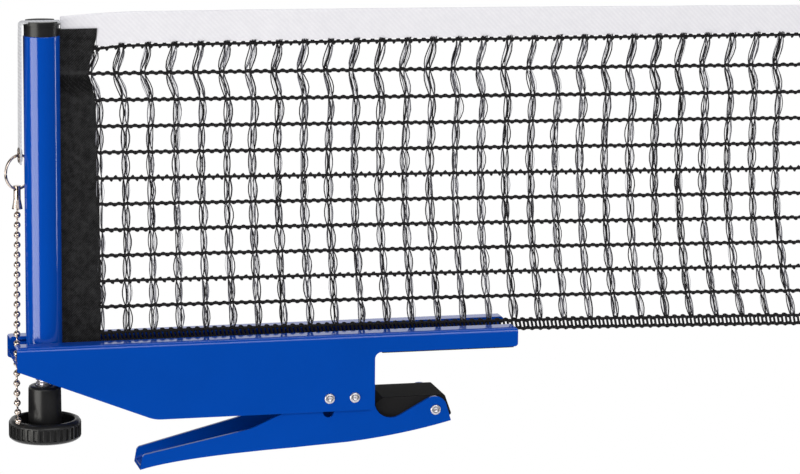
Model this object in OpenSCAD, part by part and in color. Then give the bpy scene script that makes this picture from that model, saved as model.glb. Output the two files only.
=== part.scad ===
// Table tennis net clamp, in millimetres.
// A sprung lever grips the table's edge from below, a lipped bracket rests on its top, and a
// slotted post stands in the bracket and holds the net, its tape and its tension strap.
// The origin is on the table's top, midway across the clamp, straight above the jaw pad's pin.
// +X runs in over the table, +Y to the far side of the net and +Z up.

/* [Bracket] */
// Outside width across the two side plates
bracket_w = 34; // [30:0.5:42]
// Thickness of the folded steel sheet
sheet_t = 1.5; // [1.2:0.1:1.8]
// Outer radius of the fold along each top lip
bend_r = 2; // [1.9:0.1:3]
// Height of the lips' top above the table
rail_h = 9.2; // [8:0.1:11]
// Thickness of the floor between the plates
floor_t = 1.2; // [0.8:0.1:1.3]
// From the post's axis to the edge of the table
post_to_edge = 148; // [140:1:170]
// From the post's axis to the bracket's free end
overhang = 14.4; // [14:0.1:20]
// Reach of the upper jaw over the table
tongue_l = 67; // [55:1:85]
// Depth of the side plates below the table's top
skirt_d = 26; // [24.5:0.5:30]
// Depth of the free end below the table's top
nose_d = 1.5; // [1:0.5:6]
// From the post's axis to where the sloping edge reaches full depth
belly_x = 47; // [38:1:60]
// Radius of the corner under the belly
belly_r = 16; // [4:1:24]
// Radius of the corner where the table's edge goes in
notch_r = 3; // [1:0.5:4]
// Radius of the plates' small outer corners
tip_r = 1.5; // [0.5:0.1:2]
// Thickness of the rubber liner under the upper jaw
liner_t = 0.5; // [0.4:0.1:1.2]
// Margin of the liner inside the plates' outline
liner_inset = 0.4; // [0.2:0.1:1]

/* [Lever] */
// Thickness of the table that the jaw holds in this pose
table_t = 21.5; // [19:0.5:22.5]
// From the table's edge back to the lever's pivot
pivot_back = 9.3; // [8.6:0.1:11]
// Depth of the pivot and stop pins below the table's top
pivot_d = 20; // [18.5:0.5:20.5]
// From the pivot pin back to the stop pin
stop_gap = 11.7; // [11:0.1:13]
// From the table's edge in to the jaw pad's pin
pad_reach = 29; // [27:0.5:32]
// Depth of the jaw pad's pin below the pad's top face
pad_pin_drop = 6.4; // [5.5:0.1:7]
// Length of the handle, from the pivot to its grip end
handle_l = 97; // [85:1:105]
// Depth of the grip end's underside below the table's top
grip_d = 51; // [48:0.5:56]
// Height of the side walls at the grip end
grip_h = 6.8; // [5:0.1:9]
// Outside width of the grip end
grip_w = 16.5; // [14:0.5:20]
// Depth of the lever's underside below the table's top, at the pivot
web_d = 41; // [40:0.5:43]
// Depth of the lever's underside at the jaw end
jaw_end_d = 33.2; // [32.5:0.1:34]
// How far the handle squeezes up to open the jaw, in degrees
open_deg = 24; // [15:1:24]
// How far the jaw closes on a thinner table, in degrees
close_deg = 8; // [4:1:8]
// From the jaw pad's pin to the lever's end over the table
jaw_nose = 7.3; // [6:0.1:8]

/* [Jaw pad] */
// From the table's edge in to the pad's back
pad_back_gap = 1.2; // [0.8:0.1:2]
// How far the pad stands past the lever's end
pad_proud = 0.9; // [0.4:0.1:1.5]
// Height of the pad
pad_h = 11.5; // [10.5:0.1:12]
// Height of the pad's front face
pad_front_h = 9.5; // [8:0.1:10]
// How far the front face leans back to the top
pad_lean = 3.4; // [2:0.1:4]
// Length of the bevel along the pad's back top edge
pad_bevel_l = 3.6; // [2:0.1:4]
// Depth of the bevel along the pad's back top edge
pad_bevel_d = 2.6; // [1:0.1:3]
// Depth of the pad's back face below its top
pad_back_h = 4.5; // [4:0.1:6]
// From the pad's front to the front of its underside
pad_toe_l = 8; // [4:0.1:9]
// From the pad's back to the back of its underside
pad_heel_l = 5; // [4:0.1:8]

/* [Pins and spring] */
// Diameter of the pins' shanks
pin_d = 4; // [3.6:0.1:4.2]
// Diameter of the pins' heads
pin_head_d = 4.8; // [4.6:0.1:5.6]
// Height of the pins' heads
pin_head_h = 0.7; // [0.4:0.1:1.2]
// Outer diameter of the bush round the pivot pin
bush_d = 8.4; // [7:0.1:8.6]
// Diameter of the spring's wire
spring_wire = 1.8; // [1.4:0.1:1.9]
// Length of each of the spring's two coils
spring_coil_l = 8.5; // [6:0.5:9.5]

/* [Post and height screw] */
// Outer diameter of the post
post_d = 16.2; // [15.6:0.1:16.8]
// Wall of the post
post_wall = 1.5; // [1.2:0.1:1.8]
// Width of the slot along the post that the sleeve passes through
post_slot_w = 3.4; // [2.6:0.1:4.2]
// How far one turn of the knob lifts the post
screw_pitch = 1.25; // [1:0.05:1.5]
// Turns of the knob that lower the post from this pose
turns_down = 1; // [1:1:1]
// Length of the plug in the post's foot
plug_l = 16; // [14:1:24]
// How far the screw's tip reaches into the plug
screw_engage = 12; // [8:0.5:13]
// Diameter of the height screw
screw_d = 8; // [7:0.1:8.4]
// Width of the weld nut across its flats
nut_af = 13; // [12:0.1:14]
// Height of the weld nut
nut_h = 6.5; // [5:0.1:7]

/* [Knob] */
// Diameter of the knob's stem
stem_d = 14.6; // [12:0.1:16]
// Depth of the stem's top below the table's top
stem_top_d = 11.6; // [10.5:0.1:14]
// Diameter of the knob's wheel over its ribs
wheel_d = 32.5; // [30:0.5:33]
// Depth of the wheel's rim below the table's top
wheel_top_d = 26.8; // [26.2:0.1:30]
// Height of the wheel
wheel_h = 9.3; // [8:0.1:12]
// Inner diameter of the cup in the wheel
cup_d = 26.6; // [22:0.1:27.5]
// Depth of the cup
cup_depth = 7; // [4:0.1:7.5]
// Number of grip ribs round the wheel
wheel_ribs = 34; // [24:1:40]
// Height of each grip rib
rib_h = 0.6; // [0.4:0.1:1]

/* [Cap] */
// Height of the tape's top edge above the table
net_h = 152.5; // [145:0.5:160]
// Height of the cap above the post
cap_h = 6.5; // [5.5:0.1:9]
// Diameter of the cap's rim
cap_d = 16.5; // [15.5:0.1:17.5]
// How far the cap's side is set in below the rim
cap_step = 0.5; // [0.2:0.1:0.8]
// Depth of the strap's groove across the cap
groove_d = 1.2; // [1.1:0.1:2.4]
// Length of the cap's plug inside the post
cap_plug_l = 8; // [5:0.5:12]

/* [Net] */
// Length of the netting between its two end sleeves
mesh_l = 332; // [300:1:360]
// Number of gaps along the netting
gaps_x = 27; // [20:1:27]
// Number of gaps up the netting
gaps_z = 11; // [9:1:11]
// Height of the netting's lower edge above the table
net_low = 4.5; // [4.5:0.1:6]
// Height of the knitted band along the lower edge
band_h = 5; // [4:0.1:6]
// Thickness of the netting's level cords
cord_h = 1.8; // [1.2:0.1:2.4]
// Width of the netting's upright cords
cord_w = 2.6; // [1.6:0.1:3.4]
// Thickness of the netting
mesh_t = 1.6; // [1.2:0.1:2]
// Height of the white tape
tape_h = 13.6; // [12:0.1:16]
// Thickness of the folded tape
tape_t = 1.6; // [1.2:0.1:2]
// Width of the black sleeve beside the post
sleeve_w = 17.4; // [14:0.2:22]
// Thickness of the doubled sleeve
sleeve_t = 1.4; // [1:0.1:1.6]
// Depth of the sleeve's top edge below the tape's top edge
sleeve_drop = 5; // [3:0.5:8]
// Diameter of the rod inside the sleeve
rod_d = 6; // [5:0.1:6.6]
// Thickness of the cloth wrapped round the rod
wrap_t = 0.6; // [0.4:0.1:0.8]

/* [Strap, ring and chain] */
// Width of the tension strap
strap_w = 9.6; // [8:0.2:10]
// Thickness of the tension strap
strap_t = 0.9; // [0.7:0.1:1]
// Sideways slant of the strap's hanging part, in degrees
strap_slant = 4.2; // [2:0.1:4.6]
// Bore of the strap's eyelet
eyelet_bore = 4.4; // [4.2:0.1:4.8]
// Outer diameter of the strap's eyelet
eyelet_d = 6.8; // [6.4:0.1:7.4]
// Diameter of the ring, to the middle of its wire
ring_d = 15; // [14:0.2:16]
// Diameter of the ring's wire
ring_wire = 1.3; // [1:0.1:1.4]
// Angle of the ring's plane to the net, in degrees
ring_turn = 34; // [30:1:40]
// Diameter of the chain's beads
bead_d = 3.1; // [2.6:0.1:3.2]
// Distance between beads
bead_pitch = 4.45; // [4.3:0.05:4.6]
// Diameter of the links between beads
link_d = 0.9; // [0.7:0.1:1.1]
// Beads above the notch, up to the one in the connector
beads_up = 15; // [12:1:15]
// Beads hanging below the notch
beads_down = 7; // [4:1:7]
// From the post's wall to the chain
chain_gap = 4.2; // [4.1:0.1:5]
// Lean of the tail's last link towards the near side, in degrees
tail_lean = 46; // [30:1:50]

/* [Fits] */
// Radial clearance of a pin or shaft that turns in its hole
run_fit = 0.06; // [0.03:0.01:0.1]
// Radial clearance of a pin or plug that is pressed home
press_fit = 0.03; // [0.02:0.01:0.05]
// Gap between faces that slide or swing past each other
slide_gap = 0.3; // [0.3:0.05:0.4]
// Gap between the lever's walls and the side plates
lever_gap = 0.5; // [0.4:0.1:0.8]

/* [Hidden] */
$fn = 48;
eps = 0.01;
far = 400;

// Bracket
half_w = bracket_w / 2;
inner_y = half_w - sheet_t;
floor_top = liner_t + floor_t;
post_x = -(post_to_edge + pad_reach);
edge_x = -pad_reach;
end_x = post_x - overhang;
tongue_x = edge_x + tongue_l;
post_r = post_d / 2;
lip_y = post_r + slide_gap;

// Lever
pivot = [edge_x - pivot_back, -pivot_d];
stop = pivot - [stop_gap, 0];
pad_top = -table_t;
pad_pin = [0, pad_top - pad_pin_drop];
lever_y = inner_y - lever_gap;
lever_in_y = lever_y - sheet_t;
pad_y = lever_in_y - lever_gap;
pin_r = pin_d / 2;
head_r = pin_head_d / 2;
grip_x = pivot[0] - handle_l;
jaw_end_x = pad_pin[0] + jaw_nose;
stop_slot_r = pin_r + slide_gap;
// Degrees that the slot's ends lie past the two limits
stop_slack = 1.5;

// Post, screw and knob
lift_down = turns_down * screw_pitch;
bore_r = post_r - post_wall;
post_z0 = floor_top + lift_down + slide_gap;
post_z1 = net_h - cap_h;
screw_r = screw_d / 2;
screw_tip = post_z0 + screw_engage;
knob_base = -(wheel_top_d + wheel_h);
guide_wall = 2;
guide_x = post_r + guide_wall;
guide_top = rail_h - bend_r - 0.1;

// Cap and strap
cap_r = cap_d / 2;
groove_z = net_h - groove_d;
strap_z = groove_z + 0.15;
strap_turn_r = 0.8;
strap_x = post_x - cap_r - strap_turn_r;
strap_bend_z = strap_z - strap_turn_r;

// Net
tape_gap = 0.2;
rod_end_gap = 0.5;
sleeve_x0 = post_x + post_r + slide_gap;
mesh_x0 = sleeve_x0 + sleeve_w;
mesh_x1 = mesh_x0 + mesh_l;
sleeve_top = net_h - sleeve_drop;
tape_low = net_h - tape_h;
tape_x0 = post_x + cap_r + tape_gap;
mesh_low = net_low + band_h;
rod_r = rod_d / 2;
rod_z0 = post_z0 + plug_l + rod_end_gap;
rod_z1 = post_z1 - cap_plug_l - rod_end_gap;

// Ring and chain
ring_r = ring_d / 2;
wire_r = ring_wire / 2;
bead_r = bead_d / 2;
link_r = link_d / 2;
notch_half = link_r + 0.55;
chain_x = post_x - post_r - chain_gap;
notch_bead = floor_top + 1.5;
clasp_z = notch_bead + beads_up * bead_pitch;
clasp_h = 7.2;
ring_low = clasp_z + clasp_h;
ring_c = [strap_x - 1.2, 3.9, ring_low + ring_r];
eyelet_z = ring_c[2] + ring_r;
strap_end = 3.6;
eyelet_seat_r = eyelet_bore / 2 + 0.4;
clasp_side = 0.9;
// How far the ring's wire has risen where it goes through the connector
ring_rise = 0.12;
clasp = [ring_c[0] - clasp_side * cos(ring_turn), ring_c[1] - clasp_side * sin(ring_turn)];

function unit(v) = v / norm(v);
function bezier(a, b, c, n = 14) =
    [for (i = [0 : n]) let (t = i / n) (1 - t) * (1 - t) * a + 2 * t * (1 - t) * b + t * t * c];
function arc(c, r, a0, sweep, n) =
    [for (i = [0 : n]) let (a = a0 + sweep * i / n) c + r * [cos(a), sin(a)]];
// The points of one corner of an outline, rounded to the radius r
function corner(p, q, s, r, n) =
    let (u = unit(p - q), v = unit(s - q), half = acos(u * v) / 2,
         c = q + unit(u + v) * r / sin(half), a = q + u * r / tan(half), b = q + v * r / tan(half),
         a0 = atan2(a[1] - c[1], a[0] - c[0]), a1 = atan2(b[1] - c[1], b[0] - c[0]))
    r <= 0 ? [q] : arc(c, r, a0, (a1 - a0 + 540) % 360 - 180, n);
// An outline from [x, y, radius] corners
function rounded(p, n = 8) =
    [for (i = [0 : len(p) - 1])
        let (a = p[(i + len(p) - 1) % len(p)], b = p[i], c = p[(i + 1) % len(p)])
        each corner([a[0], a[1]], [b[0], b[1]], [c[0], c[1]], b[2], n)];

// An outline in X and Z, drawn out along Y and centred on the net's plane
module across(w) { rotate([90, 0, 0]) linear_extrude(w, center = true) children(); }
// A cylinder along Y through the point p in X and Z
module cross_rod(p, r, y0, y1) {
    translate([p[0], y1, p[1]]) rotate([90, 0, 0]) cylinder(h = y1 - y0, r = r);
}

// ---- Bracket ----
module plate_outline() {
    polygon(rounded([
        [end_x, rail_h, tip_r], [tongue_x, rail_h, tip_r], [tongue_x, liner_t, tip_r],
        [edge_x, liner_t, notch_r], [edge_x, -skirt_d, tip_r], [post_x + belly_x, -skirt_d, belly_r],
        [end_x, -nose_d, tip_r / 2]
    ]));
}

module fold_section() {
    polygon(rounded([
        [-half_w, -skirt_d - 1, 0], [-half_w, rail_h, bend_r], [-lip_y, rail_h, 0],
        [-lip_y, rail_h - sheet_t, 0], [-inner_y, rail_h - sheet_t, bend_r - sheet_t],
        [-inner_y, -skirt_d - 1, 0]
    ]));
}

module side_plate() {
    color("#0b4fb3") difference() {
        intersection() {
            translate([end_x - 1, 0, 0]) rotate([90, 0, 90]) linear_extrude(tongue_x - end_x + 2)
                fold_section();
            across(bracket_w + 2) plate_outline();
        }
        for (p = [pivot, stop]) cross_rod(p, pin_r + press_fit, -bracket_w, 0);
    }
}

module side_plate_near() { side_plate(); }
module side_plate_far() { mirror([0, 1, 0]) side_plate(); }

module floor_plate() {
    color("#0a459c") difference() {
        translate([end_x, -inner_y, liner_t]) cube([tongue_x - tip_r - end_x, 2 * inner_y, floor_t]);
        translate([post_x, 0, -1]) cylinder(h = 5, r = screw_r + slide_gap);
        translate([end_x - 1, -notch_half, -1]) cube([chain_x - end_x + 1, 2 * notch_half, 5]);
        translate([chain_x, 0, -1]) cylinder(h = 5, r = notch_half);
    }
}

module jaw_liner() {
    color("#1c1c1e") translate([edge_x + notch_r + liner_inset, -half_w + liner_inset, 0])
        cube([tongue_l - notch_r - tip_r - 2 * liner_inset, bracket_w - 2 * liner_inset, liner_t]);
}

module post_guide() {
    color("#0a459c") difference() {
        translate([post_x - guide_x, -inner_y, floor_top])
            cube([2 * guide_x, 2 * inner_y, guide_top - floor_top]);
        translate([post_x, 0, floor_top - 1]) cylinder(h = rail_h, r = post_r + run_fit);
        translate([post_x, -post_slot_w / 2, floor_top - 1]) cube([guide_x + 1, post_slot_w, rail_h]);
    }
}

module weld_nut() {
    color("#b9bcc0") difference() {
        translate([post_x, 0, liner_t - nut_h]) cylinder(h = nut_h, r = nut_af / sqrt(3), $fn = 6);
        translate([post_x, 0, liner_t - nut_h - 1]) cylinder(h = nut_h + 2, r = screw_r + run_fit);
    }
}

// ---- Pins and spring ----
module headed_pin(p, half_l) {
    color("#c9ccd1") {
        cross_rod(p, pin_r, -half_l - eps, half_l + eps);
        for (side = [-1, 1]) translate([0, side * (half_l + pin_head_h / 2), 0])
            cross_rod(p, head_r, -pin_head_h / 2, pin_head_h / 2);
    }
}

module pivot_pin() { headed_pin(pivot, half_w); }
module stop_pin() { headed_pin(stop, half_w); }
module jaw_pad_pin() { headed_pin(pad_pin, lever_y); }

module pivot_bush() {
    color("#2b2b2e") difference() {
        cross_rod(pivot, bush_d / 2, -lever_in_y + slide_gap, lever_in_y - slide_gap);
        cross_rod(pivot, pin_r + run_fit, -bracket_w, bracket_w);
    }
}

// The spring's envelope: two coils on the bush, a leg each up to the floor and a leg down to the web
spring_r = bush_d / 2 + slide_gap;
spring_y = lever_in_y - 1.6;
spring_mid = spring_r + spring_wire / 2;
leg_r = spring_wire / 2 - 0.1;
// The web rises by this much where the spring's lower legs stand
spring_seat = 1.2;
spring_foot = -web_d + sheet_t + spring_seat;
module torsion_spring() {
    color("#8f9296") for (side = [-1, 1]) {
        difference() {
            translate([0, side * (spring_y - spring_coil_l / 2), 0])
                cross_rod(pivot, spring_r + spring_wire, -spring_coil_l / 2, spring_coil_l / 2);
            cross_rod(pivot, spring_r, -bracket_w, bracket_w);
        }
        translate([pivot[0] - spring_mid, side * (spring_y - spring_wire / 2), pivot[1]])
            cylinder(h = liner_t - slide_gap - pivot[1], r = leg_r);
        translate([pivot[0] + spring_mid, side * (spring_y - spring_coil_l + spring_wire / 2), spring_foot])
            cylinder(h = pivot[1] - spring_foot, r = leg_r);
    }
}

// ---- Lever and jaw ----
// The underside of the lever runs in two easy curves from the grip to the jaw
grip_low = [grip_x, -grip_d];
web_back = 2.7;
web_low = [pivot[0] - web_back, -web_d];
jaw_low = [jaw_end_x, -jaw_end_d];
// Where the two curves' middle points lie
under_share = 0.22;
under_rise = 6.5;
toe_push = 2;
toe_rise = 2.2;
// Height of the ears over the pins, and how far the pocket and the handle's back lie below the pivot
ear_h = 9;
pocket_d = 16.2;
pocket_x = edge_x + 0.3;
ear_x = stop[0] + 0.3;
back_drop = 13.2;
back_l = 46.7;
lever_under = concat(
    bezier(grip_low, [grip_x + under_share * handle_l, -grip_d + under_rise], web_low),
    bezier(web_low, [(web_low[0] + jaw_low[0]) / 2 + toe_push, -web_d + toe_rise], jaw_low));
// The upper edge: along the handle, over the pivot, down round the pocket and up over the pad's pin
lever_top = rounded([
    [jaw_end_x, -jaw_end_d, 0], [pad_pin[0] + 3, pad_pin[1] + ear_h, 5.8],
    [pocket_x, pivot[1] - pocket_d, 8], [pocket_x, pivot[1] + ear_h, 5],
    [ear_x, pivot[1] + ear_h, 4], [stop[0] - 8.5, pivot[1] - 0.5, 6],
    [pivot[0] - back_l, pivot[1] - back_drop, 30], [grip_x + 1.2, -grip_d + grip_h, 2], [grip_x, -grip_d, 0]
]);

module lever_outline() { polygon(concat(lever_under, lever_top)); }

// Plan of the lever: parallel at the pivot, drawn in to the grip
taper_back = 27;
module lever_plan(inset) {
    y = lever_y - inset;
    g = grip_w / 2 - inset;
    taper_x = pivot[0] - taper_back;
    polygon([[grip_x - 1, -g], [taper_x, -y], [jaw_end_x + 2, -y],
             [jaw_end_x + 2, y], [taper_x, y], [grip_x - 1, g]]);
}

module lever() {
    web_stop = jaw_end_x - 12;
    color("#0b4fb3") difference() {
        intersection() {
            translate([0, 0, -far / 2]) linear_extrude(far) lever_plan(0);
            across(bracket_w) lever_outline();
        }
        difference() {
            translate([0, 0, -far / 2]) linear_extrude(far) lever_plan(sheet_t);
            across(bracket_w) lever_floor();
        }
        translate([web_stop, -lever_in_y, -far / 2]) cube([far, 2 * lever_in_y, far]);
        translate([grip_x - far, -lever_in_y, -far / 2]) cube([far, 2 * lever_in_y, far]);
        cross_rod(pivot, pin_r + run_fit, -bracket_w, bracket_w);
        cross_rod(pad_pin, pin_r + press_fit, -bracket_w, bracket_w);
        across(bracket_w) stop_slot();
    }
}

// The strip along the underside that stays as the lever's web
module lever_floor() {
    polygon(concat(lever_under, [for (i = [len(lever_under) - 1 : -1 : 0]) lever_under[i] + [0, sheet_t]]));
}

// The curved slot that the stop pin runs in as the lever swings; its lower end opens into a round
// hole, half of it below the side plates' edge
slot_hole_r = 2.6;
slot_hole_drop = 0.6;
module stop_slot() {
    a0 = 180 - close_deg - stop_slack;
    sweep = close_deg + open_deg + 2 * stop_slack;
    n = 10;
    polygon(concat(arc(pivot, stop_gap + stop_slot_r, a0, sweep, n),
                   arc(pivot, stop_gap - stop_slot_r, a0 + sweep, -sweep, n)));
    for (a = [a0, a0 + sweep]) translate(pivot + stop_gap * [cos(a), sin(a)]) circle(r = stop_slot_r);
    translate([stop[0], -skirt_d - slot_hole_drop]) circle(r = slot_hole_r);
}

module jaw_pad() {
    back_x = edge_x + pad_back_gap;
    front_x = jaw_end_x + pad_proud;
    color("#19191b") difference() {
        across(2 * pad_y) polygon(rounded([
            [back_x + pad_bevel_l, pad_top, 0.6], [front_x - pad_lean, pad_top, 1],
            [front_x, pad_top - pad_front_h, 1], [front_x - pad_toe_l, pad_top - pad_h, 2],
            [back_x + pad_heel_l, pad_top - pad_h, 3], [back_x, pad_top - pad_back_h, 0.9],
            [back_x, pad_top - pad_bevel_d, 0.6]
        ]));
        cross_rod(pad_pin, pin_r + run_fit, -bracket_w, bracket_w);
    }
}

// ---- Post, cap and height screw ----
module post_tube() {
    color("#0b4fb3") translate([post_x, 0, 0]) difference() {
        translate([0, 0, post_z0]) cylinder(h = post_z1 - post_z0, r = post_r);
        translate([0, 0, post_z0 - 1]) cylinder(h = post_z1 - post_z0 + 2, r = bore_r);
        translate([0, -post_slot_w / 2, post_z0 - 1]) cube([post_r + 1, post_slot_w, post_z1 - post_z0 + 2]);
    }
}

module post_plug() {
    color("#2b2b2e") translate([post_x, 0, 0]) difference() {
        translate([0, 0, post_z0]) cylinder(h = plug_l, r = bore_r - press_fit);
        translate([0, 0, post_z0 - 1]) cylinder(h = screw_engage + 1.05, r = screw_r + run_fit);
    }
}

module post_cap() {
    rim_h = groove_d + 0.6;
    color("#232326") translate([post_x, 0, 0]) difference() {
        union() {
            translate([0, 0, post_z1]) cylinder(h = cap_h - rim_h + eps, r = cap_r - cap_step);
            translate([0, 0, net_h - rim_h]) cylinder(h = rim_h, r = cap_r);
            translate([0, 0, post_z1 - cap_plug_l]) cylinder(h = cap_plug_l + eps, r = bore_r - press_fit);
        }
        translate([-cap_d, -strap_w / 2 - slide_gap, groove_z])
            cube([2 * cap_d, strap_w + 2 * slide_gap, groove_d + 1]);
    }
}

module height_screw() {
    color("#c9ccd1") translate([post_x, 0, knob_base + 1.5])
        cylinder(h = screw_tip - knob_base - 1.5, r = screw_r);
}

module knob() {
    wheel_r = wheel_d / 2 - rib_h;
    rib_w = 1.7;
    color("#1f1f22") translate([post_x, 0, 0]) difference() {
        union() {
            difference() {
                union() {
                    translate([0, 0, knob_base]) cylinder(h = wheel_h, r = wheel_r);
                    for (i = [0 : wheel_ribs - 1]) rotate([0, 0, i * 360 / wheel_ribs])
                        translate([wheel_r - 1, -rib_w / 2, knob_base + 1])
                            cube([1 + rib_h, rib_w, wheel_h - 2]);
                }
                translate([0, 0, -wheel_top_d - cup_depth]) cylinder(h = cup_depth + 1, r = cup_d / 2);
            }
            translate([0, 0, knob_base + 1]) cylinder(h = -stem_top_d - knob_base - 1, r = stem_d / 2);
        }
        translate([0, 0, knob_base + 1.5]) cylinder(h = wheel_top_d + wheel_h, r = screw_r + press_fit);
    }
}

// ---- Net ----
module net_rod() {
    color("#d8d8d2") translate([post_x, 0, rod_z0]) cylinder(h = rod_z1 - rod_z0, r = rod_r);
}

// The sleeve wraps the rod inside the post and comes out through the slot as a flat band
module net_sleeve() {
    wrap_r = rod_r + press_fit;
    color("#151517") {
        difference() {
            union() {
                translate([post_x, 0, rod_z0]) cylinder(h = rod_z1 - rod_z0, r = wrap_r + wrap_t);
                translate([post_x, -sleeve_t / 2, rod_z0]) cube([post_r + 1, sleeve_t, rod_z1 - rod_z0]);
            }
            translate([post_x, 0, rod_z0 - 1]) cylinder(h = rod_z1 - rod_z0 + 2, r = wrap_r);
        }
        translate([sleeve_x0, -sleeve_t / 2, net_low]) cube([sleeve_w, sleeve_t, sleeve_top - net_low]);
    }
}

// Open netting: a flat web of level and upright cords under the tape
module netting() {
    pitch_x = mesh_l / gaps_x;
    pitch_z = (tape_low - mesh_low) / gaps_z;
    color("#1a1a1c") translate([mesh_x0, 0, mesh_low]) across(mesh_t) difference() {
        square([mesh_l, tape_low - mesh_low]);
        for (i = [0 : gaps_x - 1], k = [0 : gaps_z - 1])
            translate([i * pitch_x + cord_w / 2, k * pitch_z + cord_h / 2])
                square([pitch_x - cord_w, pitch_z - cord_h]);
    }
}

module net_band() {
    color("#1a1a1c") translate([mesh_x0, -sleeve_t / 2, net_low]) cube([mesh_l, sleeve_t, band_h]);
}

// White tape along the top; at both ends it lies over the sleeves' upper edges
module net_tape() {
    color("#e8e8ee") across(tape_t) polygon([
        [tape_x0, net_h], [tape_x0, sleeve_top], [mesh_x0, sleeve_top], [mesh_x0, tape_low],
        [mesh_x1, tape_low], [mesh_x1, sleeve_top], [mesh_x1 + sleeve_w, sleeve_top],
        [mesh_x1 + sleeve_w, net_h]
    ]);
}

module net_end_sleeve() {
    color("#151517") translate([mesh_x1, -sleeve_t / 2, net_low])
        cube([sleeve_w, sleeve_t, sleeve_top - net_low]);
}

// ---- Strap, ring and chain ----
// Everything on the hanging strap is placed from the top of its fall, slanted to the far side
module on_strap() {
    translate([strap_x, 0, strap_bend_z]) rotate([strap_slant, 0, 0]) children();
}
strap_fall = (strap_bend_z - eyelet_z) / cos(strap_slant);

module tension_strap() {
    color("#e8e8ee") {
        translate([post_x - cap_r, -strap_w / 2, strap_z])
            cube([tape_x0 - slide_gap - post_x + cap_r, strap_w, strap_t]);
        difference() {
            cross_rod([post_x - cap_r, strap_bend_z], strap_turn_r + strap_t, -strap_w / 2, strap_w / 2);
            cross_rod([post_x - cap_r, strap_bend_z], strap_turn_r, -strap_w, strap_w);
            translate([post_x - cap_r, -strap_w, strap_bend_z - cap_d]) cube([cap_d, 2 * strap_w, 2 * cap_d]);
            translate([strap_x - cap_d, -strap_w, strap_bend_z - cap_d])
                cube([2 * cap_d, 2 * strap_w, cap_d]);
        }
        on_strap() difference() {
            translate([-strap_t, -strap_w / 2, -strap_fall - strap_end])
                cube([strap_t, strap_w, strap_fall + strap_end + 0.3]);
            translate([-strap_t - 1, 0, -strap_fall]) rotate([0, 90, 0])
                cylinder(h = strap_t + 2, r = eyelet_seat_r);
        }
    }
}

module strap_eyelet() {
    flange = 0.3;
    color("#c9ccd1") on_strap() translate([-strap_t - flange, 0, -strap_fall]) rotate([0, 90, 0])
        difference() {
            union() {
                cylinder(h = flange, r = eyelet_d / 2);
                cylinder(h = strap_t + 2 * flange, r = eyelet_seat_r - press_fit);
                translate([0, 0, strap_t + flange]) cylinder(h = flange, r = eyelet_d / 2);
            }
            translate([0, 0, -1]) cylinder(h = strap_t + 3, r = eyelet_bore / 2);
        }
}

module tension_ring() {
    color("#c9ccd1") translate(ring_c) rotate([90, 0, ring_turn]) rotate_extrude($fn = 40)
        translate([ring_r, 0]) circle(r = wire_r, $fn = 14);
}

module chain_connector() {
    barrel_r = 1.6;
    bell_r = 2.4;
    color("#b9bcc0") translate([clasp[0], clasp[1], 0]) difference() {
        union() {
            translate([0, 0, clasp_z + 2.6]) cylinder(h = 6.2, r = barrel_r);
            translate([0, 0, clasp_z - 1.7]) cylinder(h = 4.4, r1 = bell_r, r2 = barrel_r);
        }
        translate([0, 0, ring_low + ring_rise]) rotate([90, 0, ring_turn + 90])
            cylinder(h = 10, r = wire_r + slide_gap, center = true);
        translate([0, 0, clasp_z]) sphere(r = bead_r + press_fit, $fn = 24);
        translate([0, 0, clasp_z - 3]) cylinder(h = 3, r = bead_r + press_fit);
    }
}

// Beads at the points p, and links along them from the point neck on
module chain(p, neck) {
    route = concat(neck, p);
    color("#b9bcc0") union() {
        for (q = p) translate(q) sphere(r = bead_r, $fn = 16);
        for (i = [1 : len(route) - 1]) {
            d = route[i] - route[i - 1];
            translate(route[i - 1]) rotate([0, acos(d[2] / norm(d)), atan2(d[1], d[0])])
                cylinder(h = norm(d), r = link_r, $fn = 13);
        }
    }
}

// Beads from the notch up to the connector, on a straight line
module bead_chain() {
    low = [chain_x, 0, notch_bead];
    top = [clasp[0], clasp[1], clasp_z];
    chain([for (k = [0 : beads_up]) low + (top - low) * k / beads_up], []);
}

// Beads below the notch, leaning over until the last one lies on the knob's rim
module chain_tail() {
    tail_l = (beads_down - 1) * bead_pitch;
    z0 = notch_bead - bead_pitch;
    chain([for (k = [0 : beads_down - 1])
        let (s = k * bead_pitch, a = tail_lean * s / tail_l, w = tail_l / (tail_lean * PI / 180))
        [chain_x - s / tail_l, -w * (1 - cos(a)), z0 - w * sin(a)]], [[chain_x, 0, notch_bead - bead_r]]);
}

side_plate_near();
side_plate_far();
floor_plate();
jaw_liner();
post_guide();
weld_nut();
pivot_pin();
stop_pin();
pivot_bush();
torsion_spring();
lever();
jaw_pad_pin();
jaw_pad();
post_tube();
post_plug();
post_cap();
height_screw();
knob();
net_rod();
net_sleeve();
netting();
net_band();
net_tape();
net_end_sleeve();
tension_strap();
strap_eyelet();
tension_ring();
chain_connector();
bead_chain();
chain_tail();
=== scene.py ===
"""Looks of the table tennis net clamp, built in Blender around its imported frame.

Every length in the classes is in millimetres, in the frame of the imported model.
"""

from __future__ import annotations

import logging
import math
import random
from collections.abc import Callable, Iterable, Sequence
from dataclasses import dataclass
from enum import Enum
from functools import cached_property

import bmesh
import bpy
from mathutils import Matrix, Vector, noise

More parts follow.
